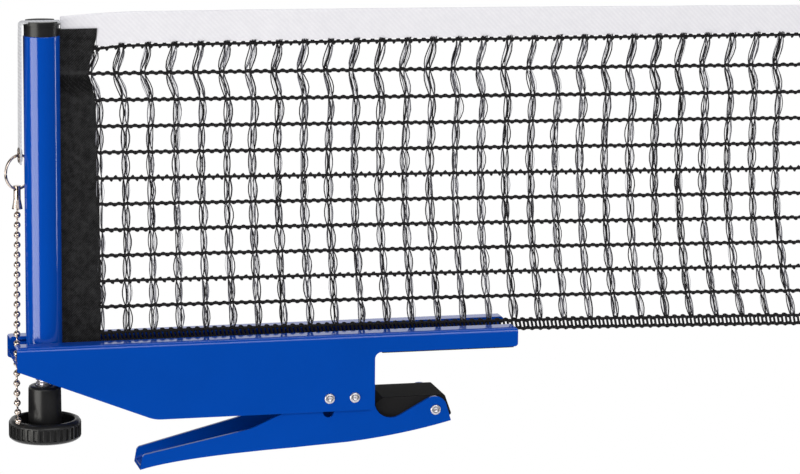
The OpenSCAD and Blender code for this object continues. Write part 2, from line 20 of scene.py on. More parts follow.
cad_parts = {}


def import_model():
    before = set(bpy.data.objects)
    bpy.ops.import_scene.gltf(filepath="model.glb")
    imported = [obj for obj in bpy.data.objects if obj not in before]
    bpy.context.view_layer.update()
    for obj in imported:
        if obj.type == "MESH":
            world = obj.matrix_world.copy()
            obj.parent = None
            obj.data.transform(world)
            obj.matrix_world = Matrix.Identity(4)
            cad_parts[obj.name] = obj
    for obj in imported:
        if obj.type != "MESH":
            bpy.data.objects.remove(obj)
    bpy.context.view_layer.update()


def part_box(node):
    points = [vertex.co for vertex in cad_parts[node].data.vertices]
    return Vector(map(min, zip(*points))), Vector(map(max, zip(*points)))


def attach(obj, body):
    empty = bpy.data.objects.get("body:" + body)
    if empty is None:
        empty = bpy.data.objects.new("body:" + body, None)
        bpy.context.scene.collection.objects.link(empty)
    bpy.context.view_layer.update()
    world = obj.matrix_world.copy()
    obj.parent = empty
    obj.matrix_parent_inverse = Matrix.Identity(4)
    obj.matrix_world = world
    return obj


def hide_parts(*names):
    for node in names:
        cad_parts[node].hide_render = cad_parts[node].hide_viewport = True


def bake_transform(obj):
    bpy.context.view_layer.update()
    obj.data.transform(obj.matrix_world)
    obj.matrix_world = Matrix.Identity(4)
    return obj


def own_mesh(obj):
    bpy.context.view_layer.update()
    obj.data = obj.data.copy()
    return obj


LOG = logging.getLogger("net_clamp")
MM = 0.001
# a diagonal wave texture repeats every 0.444 of a unit at a scale of 1
WAVE_REPEAT = 0.444

Path = list[Vector]
Outline = Sequence[tuple[float, float]]
Mesh = bmesh.types.BMesh
Tree = bpy.types.NodeTree
Node = bpy.types.Node
Socket = bpy.types.NodeSocket


class Body(str, Enum):
    """The moving bodies of the clamp, by the names that the frame gives them."""

    BRACKET = "bracket"
    LEVER = "lever"
    PAD = "jaw_pad"
    POST = "post"
    KNOB = "knob"
    CHAIN = "chain"


class Hold(str, Enum):
    """How a sheet of cloth is held."""

    FOLDED = "folded"
    STRETCHED = "stretched"


# ---- Finishes ----


def linear(code: str) -> tuple[float, float, float, float]:
    """Turns an sRGB hex colour into linear light.

    Args:
        code: six hex digits, without a mark before them.

    Returns:
        Red, green, blue and an alpha of 1.
    """
    parts = [int(code[i : i + 2], 16) / 255 for i in (0, 2, 4)]
    light = [c / 12.92 if c <= 0.04045 else ((c + 0.055) / 1.055) ** 2.4 for c in parts]
    return light[0], light[1], light[2], 1.0


def add(tree: Tree, kind: str, sockets: dict | None = None, **settings: object) -> Node:
    """Adds one shader node.

    Args:
        tree: the node tree that the node goes into.
        kind: the node's type, without its ShaderNode.
        sockets: inputs by name or number, each a value or the output that feeds it.
        settings: the node's own settings.

    Returns:
        The node.
    """
    node = tree.nodes.new("ShaderNode" + kind)
    for name, value in settings.items():
        setattr(node, name, value)
    for name, value in (sockets or {}).items():
        if isinstance(value, Socket):
            tree.links.new(value, node.inputs[name])
        else:
            node.inputs[name].default_value = value
    return node


def per_metre(size: float) -> float:
    """The scale of a noise whose grains are size millimetres across."""
    return 1 / (size * MM)


@dataclass(frozen=True)
class Finish:
    """What every finish has: its name, the record's slot, its colours, its roughness and its relief.

    Its pattern shades it from the darker colour at low to the lighter one at high, and raises it
    by depth millimetres with a force from 0 to 1.
    """

    name: str
    slot: str
    colour: str
    shade: str
    roughness: float
    metal: float = 0.0
    gloss: float = 0.5
    low: float = 0.3
    high: float = 0.7
    depth: float = 0.03
    force: float = 0.4

    def material(self) -> bpy.types.Material:
        """The finish as a Blender material, made once.

        Returns:
            The material.
        """
        known = bpy.data.materials.get(self.name)
        if known:
            return known
        made = bpy.data.materials.new(self.name)
        made.use_nodes = True
        tree = made.node_tree
        shader = tree.nodes["Principled BSDF"]
        shader.inputs["Metallic"].default_value = self.metal
        shader.inputs["Roughness"].default_value = self.roughness
        if not self.metal:
            shader.inputs["Specular IOR Level"].default_value = self.gloss
        self.dress(tree, shader, add(tree, "TexCoord").outputs["Object"])
        return made

    def dress(self, tree: Tree, shader: Node, place: Socket) -> None:
        """Adds the finish's own pattern. Each finish has its own."""
        raise NotImplementedError

    def tone(self, tree: Tree, shader: Node, amount: Socket) -> None:
        """Shades the colour between the finish's two colours.

        Args:
            tree: the material's nodes.
            shader: the surface's shader.
            amount: what the shade follows, from 0 to 1.
        """
        spread = add(tree, "MapRange", {"Value": amount, "From Min": self.low, "From Max": self.high})
        colours = {0: spread.outputs["Result"], 6: linear(self.shade), 7: linear(self.colour)}
        mix = add(tree, "Mix", colours, data_type="RGBA")
        tree.links.new(mix.outputs[2], shader.inputs["Base Color"])

    def relief(self, tree: Tree, shader: Node, height: Socket) -> None:
        """Raises the surface by a height from 0 to 1."""
        bump = add(tree, "Bump", {"Height": height, "Distance": self.depth * MM, "Strength": self.force})
        tree.links.new(bump.outputs["Normal"], shader.inputs["Normal"])


@dataclass(frozen=True)
class PowderCoat(Finish):
    """Glossy polyester powder coat baked on pressed steel: deep, even colour with a faint orange peel."""

    depth: float = 0.012
    force: float = 0.2
    peel: float = 1.6
    cloud: float = 28.0

    def dress(self, tree: Tree, shader: Node, place: Socket) -> None:
        """Adds the orange peel and the slight unevenness of the coat's thickness.

        Args:
            tree: the material's nodes.
            shader: the surface's shader.
            place: the piece's own coordinates.
        """
        peel = add(tree, "TexNoise", {"Vector": place, "Scale": per_metre(self.peel), "Detail": 2.0})
        cloud = add(tree, "TexNoise", {"Vector": place, "Scale": per_metre(self.cloud), "Detail": 3.0})
        self.tone(tree, shader, cloud.outputs["Fac"])
        self.relief(tree, shader, peel.outputs["Fac"])


@dataclass(frozen=True)
class PlatedSteel(Finish):
    """Zinc or nickel plate on steel: bright metal whose polish varies, dulled by fine handling marks."""

    low: float = 0.35
    high: float = 0.65
    depth: float = 0.02
    force: float = 0.5
    mark: float = 0.8
    brightest: float = 0.7
    dullest: float = 1.5

    def dress(self, tree: Tree, shader: Node, place: Socket) -> None:
        """Adds the fine marks and the patches of duller plate.

        Args:
            tree: the material's nodes.
            shader: the surface's shader.
            place: the piece's own coordinates.
        """
        grain = {"Vector": place, "Scale": per_metre(self.mark), "Detail": 5.0}
        marks = add(tree, "TexNoise", grain).outputs["Fac"]
        self.tone(tree, shader, marks)
        self.relief(tree, shader, marks)
        least, most = self.roughness * self.brightest, self.roughness * self.dullest
        rough = add(tree, "MapRange", {"Value": marks, "To Min": least, "To Max": most})
        tree.links.new(rough.outputs["Result"], shader.inputs["Roughness"])


@dataclass(frozen=True)
class MouldedPlastic(Finish):
    """Moulded plastic or rubber with a fine spark-eroded grain, which spreads the light into a soft sheen."""

    grain: float = 0.5
    flow: float = 9.0

    def dress(self, tree: Tree, shader: Node, place: Socket) -> None:
        """Adds the mould's grain and faint flow marks.

        Args:
            tree: the material's nodes.
            shader: the surface's shader.
            place: the piece's own coordinates.
        """
        grain = add(tree, "TexNoise", {"Vector": place, "Scale": per_metre(self.grain), "Detail": 3.0})
        marks = {"Vector": place, "Scale": per_metre(self.flow), "Detail": 3.0, "Distortion": 0.6}
        flow = add(tree, "TexNoise", marks)
        self.tone(tree, shader, flow.outputs["Fac"])
        self.relief(tree, shader, grain.outputs["Fac"])


@dataclass(frozen=True)
class Twill(Finish):
    """Woven polyester twill: steep diagonal ribs of tight yarn.

    The real ribs lie about 0.4 mm apart, too close to show, so they are drawn rib millimetres apart.
    """

    low: float = 0.45
    high: float = 0.95
    depth: float = 0.1
    force: float = 0.55
    rib: float = 1.0
    fuzz: float = 0.7
    cloud: float = 3.0
    falls: bool = False

    def dress(self, tree: Tree, shader: Node, place: Socket) -> None:
        """Adds the ribs, the yarns that cross them, loose fibres, and the painted shade of creases with its
        painted highlight.

        Args:
            tree: the material's nodes.
            shader: the surface's shader.
            place: the piece's own coordinates.
        """
        turn = add(tree, "Mapping", {"Vector": place, "Scale": (1, 0, 1 if self.falls else -1)})
        wave = {
            "Vector": turn.outputs["Vector"],
            "Scale": WAVE_REPEAT * per_metre(self.rib),
            "Distortion": 0.8,
            "Detail": 2.0,
            "Detail Scale": 3.0,
        }
        ribs = add(tree, "TexWave", wave, bands_direction="DIAGONAL").outputs["Fac"]
        fuzz = add(tree, "TexNoise", {"Vector": place, "Scale": per_metre(self.fuzz), "Detail": 4.0})
        both = add(tree, "Math", {0: ribs, 1: fuzz.outputs["Fac"]}, operation="MULTIPLY").outputs["Value"]
        patches = {"Vector": place, "Scale": per_metre(self.cloud), "Detail": 6.0, "Roughness": 0.7}
        cloud = add(tree, "TexNoise", patches).outputs["Fac"]
        worn = add(tree, "Math", {0: both, 1: 0.6, 2: cloud}, operation="MULTIPLY_ADD").outputs["Value"]
        # painted shade and painted highlight: a sewn piece keeps in this attribute how much its creases are
        # painted darker, below 0 where a fold is painted lighter
        crease = add(tree, "Attribute", attribute_name="crease").outputs["Fac"]
        amount = add(tree, "Math", {0: worn, 1: crease}, operation="SUBTRACT").outputs["Value"]
        self.tone(tree, shader, amount)
        self.relief(tree, shader, both)


@dataclass(frozen=True)
class KnittedCord(Finish):
    """Knitted polyester yarn: matt, with loose fibres that catch the light."""

    low: float = 0.35
    depth: float = 0.12
    force: float = 0.6
    fibre: float = 0.35

    def dress(self, tree: Tree, shader: Node, place: Socket) -> None:
        """Adds the fibres.

        Args:
            tree: the material's nodes.
            shader: the surface's shader.
            place: the piece's own coordinates.
        """
        grain = {"Vector": place, "Scale": per_metre(self.fibre), "Detail": 3.0}
        fibre = add(tree, "TexNoise", grain).outputs["Fac"]
        self.tone(tree, shader, fibre)
        self.relief(tree, shader, fibre)


BLUE_COAT = PowderCoat("glossy_blue_powder_coat", "blue_enamel", "0046ac", "0044a7", 0.11)
ZINC = PlatedSteel("zinc_plated_steel", "zinc_steel", "d6d3d8", "a6a3aa", 0.3, metal=1.0)
NICKEL = PlatedSteel(
    "bright_nickel_plate", "nickel_steel", "c9bcb2", "b3a59b", 0.16, metal=1.0, mark=2.0, depth=0.005
)
SPRING = PlatedSteel("oiled_spring_wire", "spring_steel", "8b8c90", "5d5e62", 0.34, metal=1.0, mark=1.2)
SATIN_BLACK = MouldedPlastic("satin_black_moulding", "black_plastic", "1e1e1f", "181819", 0.3, gloss=0.3)
RUBBER = MouldedPlastic(
    "black_rubber_moulding", "black_rubber", "141314", "0f0e0f", 0.75, gloss=0.2, grain=0.9
)
ROD_PLASTIC = MouldedPlastic("white_extruded_rod", "white_plastic", "dcdcd8", "d2d2ce", 0.4)
BLACK_TWILL = Twill("black_woven_twill", "black_twill", "343435", "070708", 0.92, gloss=0.2, rib=0.8)
BLACK_YARN = KnittedCord("black_knitted_yarn", "black_cord", "1f1d20", "0b0a0b", 0.8, gloss=0.3)
# the net's loose black fibres are painted pale grey: a painted sheen for the light that they catch
FIBRE_SHEEN_GREY = KnittedCord("fibre_painted_sheen", "black_cord", "a9a9b2", "86868f", 0.8)
STRAP_WEB = Twill(
    "white_strap_webbing", "white_tape", "d9dade", "c2c3c9", 0.85, gloss=0.3, rib=1.2, depth=0.03
)
WHITE_TAPE = Twill("white_woven_tape", "white_tape", "ecebf0", "e4e3e9", 0.8, rib=1.6, depth=0.03, falls=True)


# ---- Making and finishing pieces ----


def span(node: str) -> tuple[Vector, Vector]:
    """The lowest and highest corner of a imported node, in millimetres."""
    low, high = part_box(node)
    return low / MM, high / MM


def settle(
    bm: Mesh,
    name: str,
    finish: Finish,
    body: Body,
    stands_for: Sequence[str] = (),
    crease: float = 32.0,
    flats: bool = True,
) -> bpy.types.Object:
    """Turns a finished mesh into a piece of the clamp.

    Args:
        bm: the mesh in millimetres, which is freed.
        name: the piece's name.
        finish: its finish.
        body: the body that it moves with.
        stands_for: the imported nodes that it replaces.
        crease: the angle in degrees past which an edge stays sharp.
        flats: whether large faces keep their own normals, so that only rounded edges shade round.

    Returns:
        The piece, with its place in its mesh.
    """
    bmesh.ops.scale(bm, vec=(MM, MM, MM), verts=bm.verts)
    for face in bm.faces:
        face.smooth = True
    for edge in bm.edges:
        edge.smooth = not edge.is_manifold or edge.calc_face_angle(0.0) < math.radians(crease)
    mesh = bpy.data.meshes.new(name)
    bm.to_mesh(mesh)
    bm.free()
    mesh.materials.append(finish.material())
    piece = bpy.data.objects.new(name, mesh)
    bpy.context.scene.collection.objects.link(piece)
    if flats:
        normals = piece.modifiers.new("face_weighted_normals", "WEIGHTED_NORMAL")
        normals.mode = "FACE_AREA"
        normals.weight = 50
        normals.keep_sharp = True
    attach(piece, body.value)
    if stands_for:
        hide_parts(*stands_for)
    LOG.info("%s: %d faces on %s", name, len(mesh.polygons), body.value)
    return piece


def packed_copy(node: str) -> Mesh:
    """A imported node's mesh, with its triangles merged into whole faces.

    Args:
        node: the node.

    Returns:
        A copy of it in millimetres.
    """
    bm = bmesh.new()
    bm.from_mesh(bpy.data.objects[node].data)
    bmesh.ops.scale(bm, vec=(1 / MM, 1 / MM, 1 / MM), verts=bm.verts)
    bmesh.ops.remove_doubles(bm, verts=bm.verts, dist=0.0008)
    bmesh.ops.dissolve_limit(bm, angle_limit=math.radians(0.6), verts=bm.verts, edges=bm.edges)
    return bm


def round_edges(bm: Mesh, width: float, past: float = 35.0) -> None:
    """Rounds the sharp edges of a mesh.

    Args:
        bm: the mesh, in millimetres.
        width: how wide each edge is rounded.
        past: the turn in degrees past which an edge is sharp.
    """
    sharp = [e for e in bm.edges if e.is_manifold and e.calc_face_angle(0.0) > math.radians(past)]
    bmesh.ops.bevel(
        bm,
        geom=sharp,
        offset=width,
        offset_type="OFFSET",
        affect="EDGES",
        segments=2,
        profile=0.5,
        material=-1,
        clamp_overlap=True,
    )


def finish_packed(
    prefix: str, node: str, edge: float, finish: Finish, body: Body, past: float = 35.0, crease: float = 32.0
) -> None:
    """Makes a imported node's own shape into a piece.

    Args:
        prefix: what the piece's name has before the node's.
        node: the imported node.
        edge: how wide its edges are rounded, in millimetres.
        finish: its finish.
        body: the body that it moves with.
        past: the turn in degrees past which an edge is rounded.
        crease: the angle in degrees past which an edge stays sharp.
    """
    bm = packed_copy(node)
    round_edges(bm, edge, past)
    settle(bm, f"{prefix}_{node}", finish, body, [node], crease=crease)


def sweep(outline: Outline, flats: int, turns: int = 1, rise: float = 0.0) -> Mesh:
    """Sweeps an outline round the Z axis.

    Args:
        outline: points as a radius and a height.
        flats: the number of flats in a turn.
        turns: the number of turns.
        rise: how far each flat climbs; 0 closes the turn on itself.

    Returns:
        The mesh, with its points not yet merged.
    """
    bm = bmesh.new()
    verts = [bm.verts.new((radius, 0, height)) for radius, height in outline]
    for pair in zip(verts, verts[1:]):
        bm.edges.new(pair)
    bmesh.ops.spin(
        bm,
        geom=bm.verts[:] + bm.edges[:],
        axis=(0, 0, 1),
        cent=(0, 0, 0),
        dvec=(0, 0, rise),
        angle=math.tau * turns,
        steps=flats * turns,
        use_merge=not rise,
        use_duplicate=False,
    )
    return bm


def lathe(outline: Outline, middle: Vector, axis: Vector, flats: int) -> Mesh:
    """Turns an outline about an axis.

    Args:
        outline: points as a radius and a distance along the axis, from the foot's middle to the head's.
        middle: where the axis starts.
        axis: its direction.
        flats: the number of flats round the piece.

    Returns:
        The closed mesh.
    """
    bm = sweep(outline, flats)
    bmesh.ops.remove_doubles(bm, verts=bm.verts, dist=0.0005)
    bmesh.ops.recalc_face_normals(bm, faces=bm.faces)
    turn = Vector((0, 0, 1)).rotation_difference(axis).to_matrix().to_4x4()
    bmesh.ops.transform(bm, matrix=Matrix.Translation(middle) @ turn, verts=bm.verts)
    return bm


def join(into: Mesh, other: Mesh) -> None:
    """Puts another mesh into a mesh.

    Args:
        into: the mesh that takes it in.
        other: the other mesh, which is freed.
    """
    passed = bpy.data.meshes.new("passed")
    other.to_mesh(passed)
    other.free()
    into.from_mesh(passed)
    bpy.data.meshes.remove(passed)


@dataclass
class Strand:
    """One thread, wire or cord: its path, and its radius everywhere or at each point."""

    path: Path
    radius: float | list[float]
    closed: bool = False


Strands = list[Strand]


def wind(strands: Iterable[Strand], sides: int = 6) -> Mesh:
    """Makes round strands along their paths.

    Args:
        strands: the strands, in millimetres.
        sides: the number of flats round each one, 4 or more, and even.

    Returns:
        One mesh that holds them all, with closed ends.
    """
    curve = bpy.data.curves.new("strands", "CURVE")
    curve.dimensions = "3D"
    curve.bevel_depth = 1.0
    curve.bevel_resolution = (sides - 4) // 2
    curve.use_fill_caps = True
    curve.resolution_u = 1
    for strand in strands:
        count = len(strand.path)
        radii = strand.radius if isinstance(strand.radius, list) else [strand.radius] * count
        spline = curve.splines.new("POLY")
        spline.points.add(count - 1)
        spline.points.foreach_set("co", [c for p in strand.path for c in (p.x, p.y, p.z, 1.0)])
        spline.points.foreach_set("radius", radii)
        spline.use_cyclic_u = strand.closed
    holder = bpy.data.objects.new("strands", curve)
    bpy.context.scene.collection.objects.link(holder)
    made = holder.to_mesh()
    bm = bmesh.new()
    bm.from_mesh(made)
    holder.to_mesh_clear()
    bpy.data.objects.remove(holder)
    bpy.data.curves.remove(curve)
    bmesh.ops.remove_doubles(bm, verts=bm.verts, dist=0.0005)
    return bm


def cloth(across: Sequence[float], along: Sequence[float], place: Callable[[float, float], Vector]) -> Mesh:
    """Lays a grid of cloth out.

    Args:
        across: the positions of its threads one way.
        along: the positions the other way.
        place: where the thread crossing of two positions lies, in millimetres.

    Returns:
        The open sheet, one face for each cell.
    """
    bm = bmesh.new()
    columns, rows = len(across) - 1, len(along) - 1
    bmesh.ops.create_grid(bm, x_segments=columns, y_segments=rows, size=1.0)
    for vert in bm.verts:
        a = across[round((vert.co.x + 1) / 2 * columns)]
        b = along[round((vert.co.y + 1) / 2 * rows)]
        vert.co = place(a, b)
    return bm


def thicken(bm: Mesh, thickness: float) -> None:
    """Gives a sheet its thickness, in millimetres, to the side that its faces look away from."""
    bmesh.ops.recalc_face_normals(bm, faces=bm.faces)
    bmesh.ops.solidify(bm, geom=bm.faces[:] + bm.edges[:] + bm.verts[:], thickness=thickness)


def steps(start: float, end: float, count: int) -> list[float]:
    """Even steps from start to end, both among them."""
    return [start + (end - start) * i / count for i in range(count + 1)]


def bell(value: float, middle: float, width: float) -> float:
    """A smooth hump of height 1 about a middle."""
    return math.exp(-(((value - middle) / width) ** 2))


def ripple(x: float, z: float, size: float, seed: float) -> float:
    """A smooth random height from -1 to 1 over a cloth, with waves about size millimetres across."""
    return noise.noise(Vector((x / size, seed, z / size)))


def face_of(share: float) -> tuple[int, float]:
    """Which face of a folded cloth a point is on, -1 near and 1 far, and its share of that face."""
    return (-1 if share < 0.5 else 1), min(share, 1 - share) * 2


# ---- Bracket ----


@dataclass
class Bracket:
    """The pressed channel that lies on the table, its pins, guide, nut, bush and liner."""

    fold_round: float = 0.3
    plate_round: float = 0.2
    shank_r: float = 2.0
    head_h: float = 0.7
    # how far each share of a head's radius lies below the pin's end
    head: Outline = ((0, 0.28), (0.22, 0.3), (0.34, 0.1), (0.46, 0.02), (0.78, 0.1), (0.94, 0.28), (1, 0.5))

    def pin(self, node: str, body: Body) -> None:
        """A riveted pin: a turned shank with heads that are crowned, then dished by the punch.

        Args:
            node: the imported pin.
            body: the body that it moves with.
        """
        low, high = span(node)
        middle = Vector(((low.x + high.x) / 2, low.y, (low.z + high.z) / 2))
        head_r = (high.x - low.x) / 2
        rim = [(head_r * share, sunk) for share, sunk in self.head]
        rim += [(head_r, self.head_h), (self.shank_r, self.head_h)]
        outline = rim + [(r, high.y - low.y - h) for r, h in reversed(rim)]
        bm = lathe(outline, middle, Vector((0, 1, 0)), 40)
        settle(bm, "riveted_" + node, ZINC, body, [node], crease=40)

    def build(self) -> None:
        """Makes the whole bracket, and the jaw pad's pin, which is riveted the same way."""
        for node in ("side_plate_near", "side_plate_far", "floor_plate", "post_guide"):
            edge = self.fold_round if node.startswith("side") else self.plate_round
            finish_packed("coated", node, edge, BLUE_COAT, Body.BRACKET)
        finish_packed("rubber", "jaw_liner", 0.12, RUBBER, Body.BRACKET)
        finish_packed("plated", "weld_nut", 0.45, ZINC, Body.BRACKET)
        finish_packed("moulded", "pivot_bush", 0.3, SATIN_BLACK, Body.BRACKET)
        self.pin("pivot_pin", Body.BRACKET)
        self.pin("stop_pin", Body.BRACKET)
        self.pin("jaw_pad_pin", Body.LEVER)


@dataclass
class PivotSpring:
    """The double torsion spring on the pivot's bush: two coils of round wire and their legs."""

    wire: float = 1.8
    play: float = 0.3
    turns: float = 3.5
    points: int = 79
    width: float = 8.5
    upper_bend: float = 3.0
    lower_bend: float = 4.0

    def coil(self, side: int) -> Strand:
        """One coil with its two legs.

        Args:
            side: 1 for the coil on the far side, -1 for the near one.

        Returns:
            The wire, from the leg against the floor to the leg on the lever's web.
        """
        low, high = span("torsion_spring")
        bush_low, bush_high = span("pivot_bush")
        x = (bush_low.x + bush_high.x) / 2
        z = (bush_low.z + bush_high.z) / 2
        r = (bush_high.x - bush_low.x) / 2 + self.play + self.wire / 2
        outer = high.y - self.wire / 2
        inner = outer - (self.width - self.wire)
        path = [
            Vector((x - r, side * outer, high.z - self.wire * 0.2)),
            Vector((x - r, side * outer, z + self.upper_bend)),
        ]
        # the coil starts where the upper leg meets it and ends half a turn on, at the lower leg
        for share in steps(0, 1, self.points):
            angle = math.pi - math.tau * self.turns * share
            y = outer + (inner - outer) * share
            path.append(Vector((x + r * math.cos(angle), side * y, z + r * math.sin(angle))))
        path.append(Vector((x + r, side * inner, z - self.lower_bend)))
        path.append(Vector((x + r, side * inner, low.z + 0.1)))
        return Strand(path, self.wire / 2 - 0.03)

    def build(self) -> None:
        """Makes the spring between the bracket and the lever."""
        bm = wind([self.coil(side) for side in (-1, 1)], 12)
        spring = settle(
            bm, "wound_torsion_spring", SPRING, Body.BRACKET, ["torsion_spring"], crease=50, flats=False
        )
        spring.parent = None
        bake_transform(spring)


# ---- Lever and jaw ----


@dataclass
class Lever:
    """The pressed squeeze lever and the moulded pad that it carries."""

    edge_round: float = 0.35
    pad_round: float = 0.5

    def build(self) -> None:
        """Makes the lever and the pad."""
        finish_packed("coated", "lever", self.edge_round, BLUE_COAT, Body.LEVER)
        finish_packed("moulded", "jaw_pad", self.pad_round, RUBBER, Body.PAD)


# ---- Post, screw and knob ----


@dataclass
class Post:
    """The slotted post with its plug, cap and the rod that holds the net's sleeve."""

    groove_d: float = 1.2
    groove_fill: float = 0.35

    def fill_groove(self, bm: Mesh) -> None:
        """Raises the floor of the cap's groove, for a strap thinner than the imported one.

        Args:
            bm: the cap's mesh, in millimetres.
        """
        _, high = span("post_cap")
        for vert in bm.verts:
            if abs(vert.co.z - (high.z - self.groove_d)) < 0.1:
                vert.co.z += self.groove_fill

    def build(self) -> None:
        """Makes the post's hard parts."""
        for node, finish, edge in (
            ("post_tube", BLUE_COAT, 0.25),
            ("post_plug", SATIN_BLACK, 0.3),
            ("post_cap", SATIN_BLACK, 0.35),
            ("net_rod", ROD_PLASTIC, 0.5),
        ):
            bm = packed_copy(node)
            if node == "post_cap":
                self.fill_groove(bm)
            round_edges(bm, edge)
            settle(bm, "finished_" + node, finish, Body.POST, [node])


@dataclass
class HeightScrew:
    """The height screw, with its real rolled thread."""

    pitch: float = 1.25
    depth: float = 0.72
    root: float = 0.14
    crest: float = 0.08
    flats: int = 32

    def build(self) -> None:
        """Sweeps one tooth of the thread up a helix, then trims both ends flat."""
        low, high = span("height_screw")
        middle = (low + high) / 2
        major = (high.x - low.x) / 2
        minor = major - self.depth
        turns = math.ceil((high.z - low.z) / self.pitch) + 3
        tooth = [
            (minor, 0.0),
            (minor, self.root * self.pitch),
            (major, 0.5 * self.pitch - self.crest),
            (major, 0.5 * self.pitch + self.crest),
            (minor, (1 - self.root) * self.pitch),
            (minor, self.pitch),
        ]
        bm = sweep(tooth, self.flats, turns, self.pitch / self.flats)
        bmesh.ops.remove_doubles(bm, verts=bm.verts, dist=0.002)
        bmesh.ops.translate(bm, vec=(middle.x, middle.y, low.z - 1.5 * self.pitch), verts=bm.verts)
        for height, way in ((low.z, -1), (high.z, 1)):
            cut = bmesh.ops.bisect_plane(
                bm,
                geom=bm.verts[:] + bm.edges[:] + bm.faces[:],
                plane_co=(0, 0, height),
                plane_no=(0, 0, way),
                clear_outer=True,
            )
            rim = [e for e in cut["geom_cut"] if isinstance(e, bmesh.types.BMEdge)]
            bmesh.ops.contextual_create(bm, geom=rim)
        bmesh.ops.recalc_face_normals(bm, faces=bm.faces)
        settle(bm, "threaded_height_screw", ZINC, Body.KNOB, ["height_screw"], crease=25)


@dataclass
class Knob:
    """The moulded knob: a tall stem in a cup, inside a wheel with ribs for the fingers."""

    ribs: int = 34
    flats_a_rib: int = 4
    groove_depth: float = 0.75
    groove_foot: float = 0.25
    groove_head: float = 0.35
    wheel_h: float = 9.3
    cup_depth: float = 7.0
    cup_r: float = 13.3
    stem_r: float = 7.3
    bore_r: float = 4.02
    lip: float = 2.1
    foot: float = 1.9

    def outline(self, wheel_r: float, base: float, head: float) -> Outline:
        """The knob's outline.

        Args:
            wheel_r: the wheel's radius.
            base: the height of its foot.
            head: the height of the stem's head.

        Returns:
            Radii and heights, from the bore's foot round the wheel and the cup to the bore again.
        """
        top = base + self.wheel_h
        floor = top - self.cup_depth
        cup_r, stem_r, bore_r = self.cup_r, self.stem_r, self.bore_r
        return [
            (bore_r, base + 1.2),
            (stem_r + 2.5, base + 1.2),
            (stem_r + 3.2, base + 0.5),
            (wheel_r - 3.0, base),
            (wheel_r - 1.3, base + 0.25),
            (wheel_r - 0.3, base + 1.0),
            (wheel_r, base + self.foot),
            (wheel_r, top - self.lip),
            (wheel_r - 0.15, top - 1.3),
            (wheel_r - 0.8, top - 0.35),
            (wheel_r - 1.7, top),
            (cup_r + 0.5, top),
            (cup_r + 0.1, top - 0.2),
            (cup_r, top - 0.7),
            (cup_r - 0.3, floor + 1.0),
            (cup_r - 1.3, floor),
            (stem_r + 1.0, floor),
            (stem_r + 0.25, floor + 0.8),
            (stem_r, head - 1.5),
            (stem_r - 0.35, head - 0.5),
            (stem_r - 1.1, head),
            (bore_r + 0.5, head),
            (bore_r, head - 0.5),
            (bore_r, base + 1.2),
        ]

    def build(self) -> None:
        """Turns the knob's outline, presses the finger grooves in and rounds its edges."""
        low, high = span("knob")
        x = (low.x + high.x) / 2
        wheel_r = (high.x - low.x) / 2
        base, top = low.z, low.z + self.wheel_h
        flats = self.ribs * self.flats_a_rib
        bm = lathe(self.outline(wheel_r, base, high.z), Vector((x, 0, 0)), Vector((0, 0, 1)), flats)
        sides = []
        for face in bm.faces:
            place = face.calc_center_median()
            on_rim = abs(math.hypot(place.x - x, place.y) - wheel_r) < 0.1
            flat = math.floor(math.atan2(place.y, place.x - x) / math.tau * self.ribs * self.flats_a_rib)
            if on_rim and base + self.foot < place.z < top - self.lip and flat % self.flats_a_rib in (0, 1):
                sides.append(face)
        grooves = bmesh.ops.extrude_face_region(bm, geom=sides)
        bmesh.ops.delete(bm, geom=sides, context="FACES")
        for vert in (v for v in grooves["geom"] if isinstance(v, bmesh.types.BMVert)):
            out = Vector((vert.co.x - x, vert.co.y, 0)).normalized()
            vert.co -= out * self.groove_depth
            vert.co.z += self.groove_foot if vert.co.z < (base + top) / 2 else -self.groove_head
        bmesh.ops.recalc_face_normals(bm, faces=bm.faces)
        round_edges(bm, 0.17, 38)
        settle(bm, "moulded_knob", SATIN_BLACK, Body.KNOB, ["knob"], crease=40)


# ---- Net ----


@dataclass
class NetHang:
    """How the net hangs: where its columns and rows lie under its own weight and the sleeve's pull."""

    x0: float
    pitch: float = 11.857
    columns: int = 28
    rows: int = 11
    top: float = 140.6
    drop: float = 11.76

    @property
    def end(self) -> float:
        """The column where the level cords end, inside the second sleeve."""
        return self.columns + 0.25

    def at(self, column: float, row: float) -> tuple[float, float]:
        """Where a column crosses a row.

        Args:
            column: pitches from the first sleeve's seam.
            row: rows down from the tape's cord.

        Returns:
            X and Z in millimetres.
        """
        u = max(column, 0.0) / self.columns
        # the uprights lean towards the post under the tape, with a kick at the first two cords
        kick = 2.3 - 0.7 * min(4 * u, 1.0)
        lean = -3.7 * math.exp(-0.37 * row) + 1.5 * bell(row, 0, 0.55) - kick * bell(row, 1, 0.55)
        lean += bell(row, 2.2, 0.9)
        # lower down they belly towards the post, and the free end's foot swings away from it
        belly = -3.3 * math.sin(math.pi * row / 10) * (1 - math.exp(-((4 * u) ** 1.5))) * (1 - 0.2 * u)
        pull = 6.5 * u**3 * (row / 10.5) ** 4
        # the top cord sags from the post on, the cords under it more, and the lowest ones less again
        sag = -0.27 * u - 1.61 * u * u
        sag -= (0.7 + 5.6 * u - 2 * u * u) * (1 - math.exp(-0.75 * row))
        sag += (0.76 + 4.6 * u - 4.8 * u * u) * (row / self.rows) ** 2
        sag -= 1.1 * bell(column, 0, 0.7) * bell(row, 0, 0.5)
        return self.x0 + self.pitch * column + lean + belly + pull, self.top - self.drop * row + sag

    def sway(self, x: float, z: float) -> float:
        """How far the net stands off its plane, in millimetres."""
        return 0.5 * ripple(x, z, 70, 3.1)


